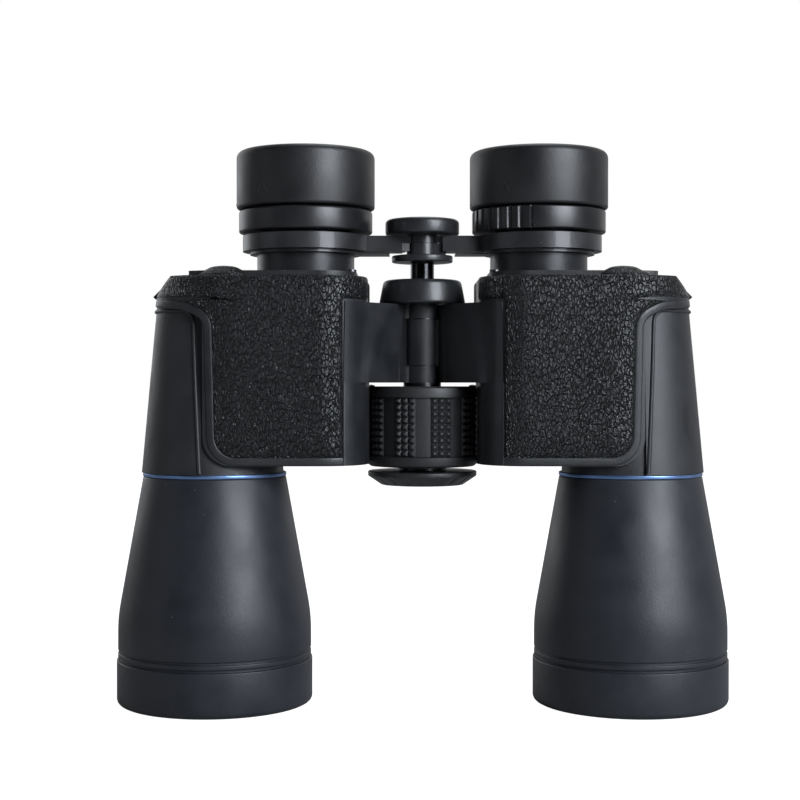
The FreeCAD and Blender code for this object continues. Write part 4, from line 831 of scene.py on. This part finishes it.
# ---- eyepiece tubes and rings ----
# A black anodised tube slides in each housing. It carries a plain ring on the left and
# the ribbed dioptre ring on the right.
tube_satin = grained("tube_satin", (0.016, 0.017, 0.019), (0.024, 0.025, 0.028), 0.32,
                     0.0003, 0.00003, metal=0.2)
ring_plastic = grained("ring_plastic", (0.010, 0.010, 0.011), (0.016, 0.016, 0.018), 0.34,
                       0.0003, 0.00003)
for side in ("left", "right"):
    axis_x, axis_y, foot, top, tube_r = round_of(f"{side}_eyepiece_tube")
    new_piece(
        f"{side}_sliding_tube",
        *turned([(tube_r - 1.85, foot, 0.2), (tube_r, foot, 0.3), (tube_r, top, 0.2),
                 (tube_r - 1.85, top, 0.2)], axis_x, axis_y),
        tube_satin, f"{side}_eyepiece", "satin_black_metal", [f"{side}_eyepiece_tube"])

axis_x, axis_y, foot, top, ring_r = round_of("left_eyepiece_ring")
new_piece(
    "plain_ring",
    *turned([(15.5, foot), (ring_r, foot, 0.7), (ring_r, top, 0.9), (15.5, top)],
            axis_x, axis_y),
    ring_plastic, "left_eyepiece", "black_plastic", ["left_eyepiece_ring"])

axis_x, axis_y, foot, top, ring_r = round_of("dioptre_ring")
line = rounded([(15.5, foot), (ring_r, foot, 0.6), (ring_r, top, 0.6), (15.5, top)])
angle = np.linspace(0.0, 2.0 * math.pi, 480, endpoint=False)
# The ribs fill two opposite sectors; the rest of the ring is smooth.
ribs_per_turn = 36.0
ribbed_sector = 88.0
around = (np.degrees(angle) - 172.0) % 180.0
valley = 0.55 * np.clip(1.8 * np.cos(ribs_per_turn * angle) - 0.4, 0.0, 1.0)
valley *= around < ribbed_sector
on_face = np.clip((line[:, 0] - ring_r + 1.0) * 2.0, 0.0, 1.0)
on_face *= np.clip(np.minimum(line[:, 1] - foot, top - line[:, 1]) / 0.5, 0.0, 1.0)
new_piece("ribbed_dioptre_ring",
          *swung(line[:, :1] - on_face[:, None] * valley, line[:, 1], angle, axis_x, axis_y),
          ring_plastic, "dioptre_ring", "black_plastic", ["dioptre_ring"])


# ---- eyecups ----
# Soft black rubber cups, rounded at the top, twist up on plastic sleeves.
cup_rubber = grained("cup_rubber", (0.010, 0.010, 0.011), (0.015, 0.015, 0.016), 0.42,
                     0.0004, 0.00005, dust=0.14)
sleeve_plastic = grained("sleeve_plastic", (0.010, 0.010, 0.011), (0.016, 0.016, 0.017),
                         0.36, 0.0003, 0.00002)
for side in ("left", "right"):
    repaint(f"{side}_eyecup_sleeve", sleeve_plastic)
    axis_x, axis_y, foot, top, cup_r = round_of(f"{side}_eyecup")
    new_piece(
        f"{side}_rubber_cup",
        *turned([(17.02, foot), (cup_r, foot, 0.9), (cup_r, top, 2.2), (13.4, top, 0.8),
                 (13.4, top - 1.58), (17.02, top - 1.58)], axis_x, axis_y),
        cup_rubber, f"{side}_eyecup", "eyecup_rubber", [f"{side}_eyecup"])
    # A small index pip at the cup's foot and a shallow raised chevron beside it.
    for mark, middle, line in (
            ("pip", math.radians(188.0), [(-0.9, 1.3), (0.9, 1.3)]),
            ("chevron", math.radians(236.0), [(-1.9, 3.6), (0.0, 6.6), (1.9, 3.6)])):
        line = np.array(line)
        length = np.concatenate([[0.0], np.cumsum(np.linalg.norm(np.diff(line, axis=0),
                                                                 axis=1))])
        even = np.linspace(0.0, length[-1], 24)
        run = np.interp(even, length, line[:, 0])
        height = foot + np.interp(even, length, line[:, 1])
        turn = np.linspace(0.0, 2.0 * math.pi, 12, endpoint=False)
        thick = 0.28 * np.sqrt(np.clip(1.0 - (2.0 * even / length[-1] - 1.0) ** 8, 0.0, 1.0))
        reach = cup_r - 0.04 + thick[:, None] * np.cos(turn) * 0.7
        around = middle + run[:, None] / cup_r
        bar = np.stack([axis_x + reach * np.cos(around), axis_y + reach * np.sin(around),
                        height[:, None] + thick[:, None] * np.sin(turn)], -1)
        new_piece(f"{side}_cup_{mark}", bar, grid_faces(*bar.shape[:2]), cup_rubber,
                  f"{side}_eyecup", "eyecup_rubber", sharp=70.0)


# ---- table top, light and camera ----
# A pale matt table top, one large soft light from the front right and weak ones from
# the left, the back and above, in front of a white backdrop.
floor_mesh = bpy.data.meshes.new("table_top")
floor_mesh.from_pydata([(-4.0, -3.0, 0.0), (4.0, -3.0, 0.0), (4.0, 9.0, 0.0),
                        (-4.0, 9.0, 0.0)], [], [(0, 1, 2, 3)])
table_top = bpy.data.objects.new("table_top", floor_mesh)
bpy.context.scene.collection.objects.link(table_top)
material, tree, shader, place = new_finish("table_white")
shader.inputs["Base Color"].default_value = (0.42, 0.42, 0.42, 1.0)
shader.inputs["Roughness"].default_value = 0.9
shader.inputs["Specular IOR Level"].default_value = 0.0
shader.inputs["Emission Color"].default_value = (1.0, 1.0, 1.0, 1.0)
rays = tree.nodes.new("ShaderNodeLightPath")
joined_up(tree, number_step(tree, "MULTIPLY", rays.outputs["Is Camera Ray"], 0.97),
          shader.inputs["Emission Strength"])
floor_mesh.materials.append(material)

room = bpy.data.worlds.new("white_room")
bpy.context.scene.world = room
room.use_nodes = True
backdrop = room.node_tree.nodes["Background"]
rays = room.node_tree.nodes.new("ShaderNodeLightPath")
backdrop.inputs["Color"].default_value = (1.0, 1.0, 1.0, 1.0)
facing = room.node_tree.nodes.new("ShaderNodeSeparateXYZ")
joined_up(room.node_tree, room.node_tree.nodes.new("ShaderNodeTexCoord").outputs["Generated"],
          facing.inputs[0])
behind = room.node_tree.nodes.new("ShaderNodeMapRange")
behind.inputs["From Min"].default_value = 0.0
behind.inputs["From Max"].default_value = 0.8
behind.inputs["To Min"].default_value = 0.018
behind.inputs["To Max"].default_value = 0.68
joined_up(room.node_tree, facing.outputs["Y"], behind.inputs["Value"])
joined_up(room.node_tree,
          number_step(room.node_tree, "MAXIMUM", rays.outputs["Is Camera Ray"],
                      behind.outputs[0]),
          backdrop.inputs["Strength"])

for name, place, aim, size, power in (
        ("soft_box", (0.62, -0.72, 0.45), (0.0, 0.0, 0.09), 0.50, 13.0),
        ("fill_card", (-0.95, -0.35, 0.35), (0.0, 0.0, 0.09), 0.60, 0.5),
        ("back_card", (-0.75, 0.75, 0.40), (0.0, 0.0, 0.09), 0.60, 1.3),
        ("top_light", (0.10, 0.25, 0.95), (0.0, 0.0, 0.10), 0.50, 2.2)):
    lamp = bpy.data.lights.new(name, "AREA")
    lamp.shape = "SQUARE"
    lamp.size = size
    lamp.energy = power
    lamp.color = (0.88, 0.93, 1.0)
    light = bpy.data.objects.new(name, lamp)
    light.location = place
    towards = np.array(aim) - np.array(place)
    flat_reach = math.hypot(towards[0], towards[1])
    light.rotation_euler = (math.atan2(flat_reach, -towards[2]), 0.0,
                            math.atan2(-towards[0], towards[1]))
    bpy.context.scene.collection.objects.link(light)

lens = bpy.data.cameras.new("studio_camera")
lens.lens = 69.8
lens.sensor_width = 36.0
camera = bpy.data.objects.new("studio_camera", lens)
camera.location = (-0.0071, -0.487, 0.100)
camera.rotation_euler = (math.radians(89.335), 0.0, 0.0)
bpy.context.scene.collection.objects.link(camera)
bpy.context.scene.camera = camera
bpy.context.scene.view_settings.view_transform = "Standard"
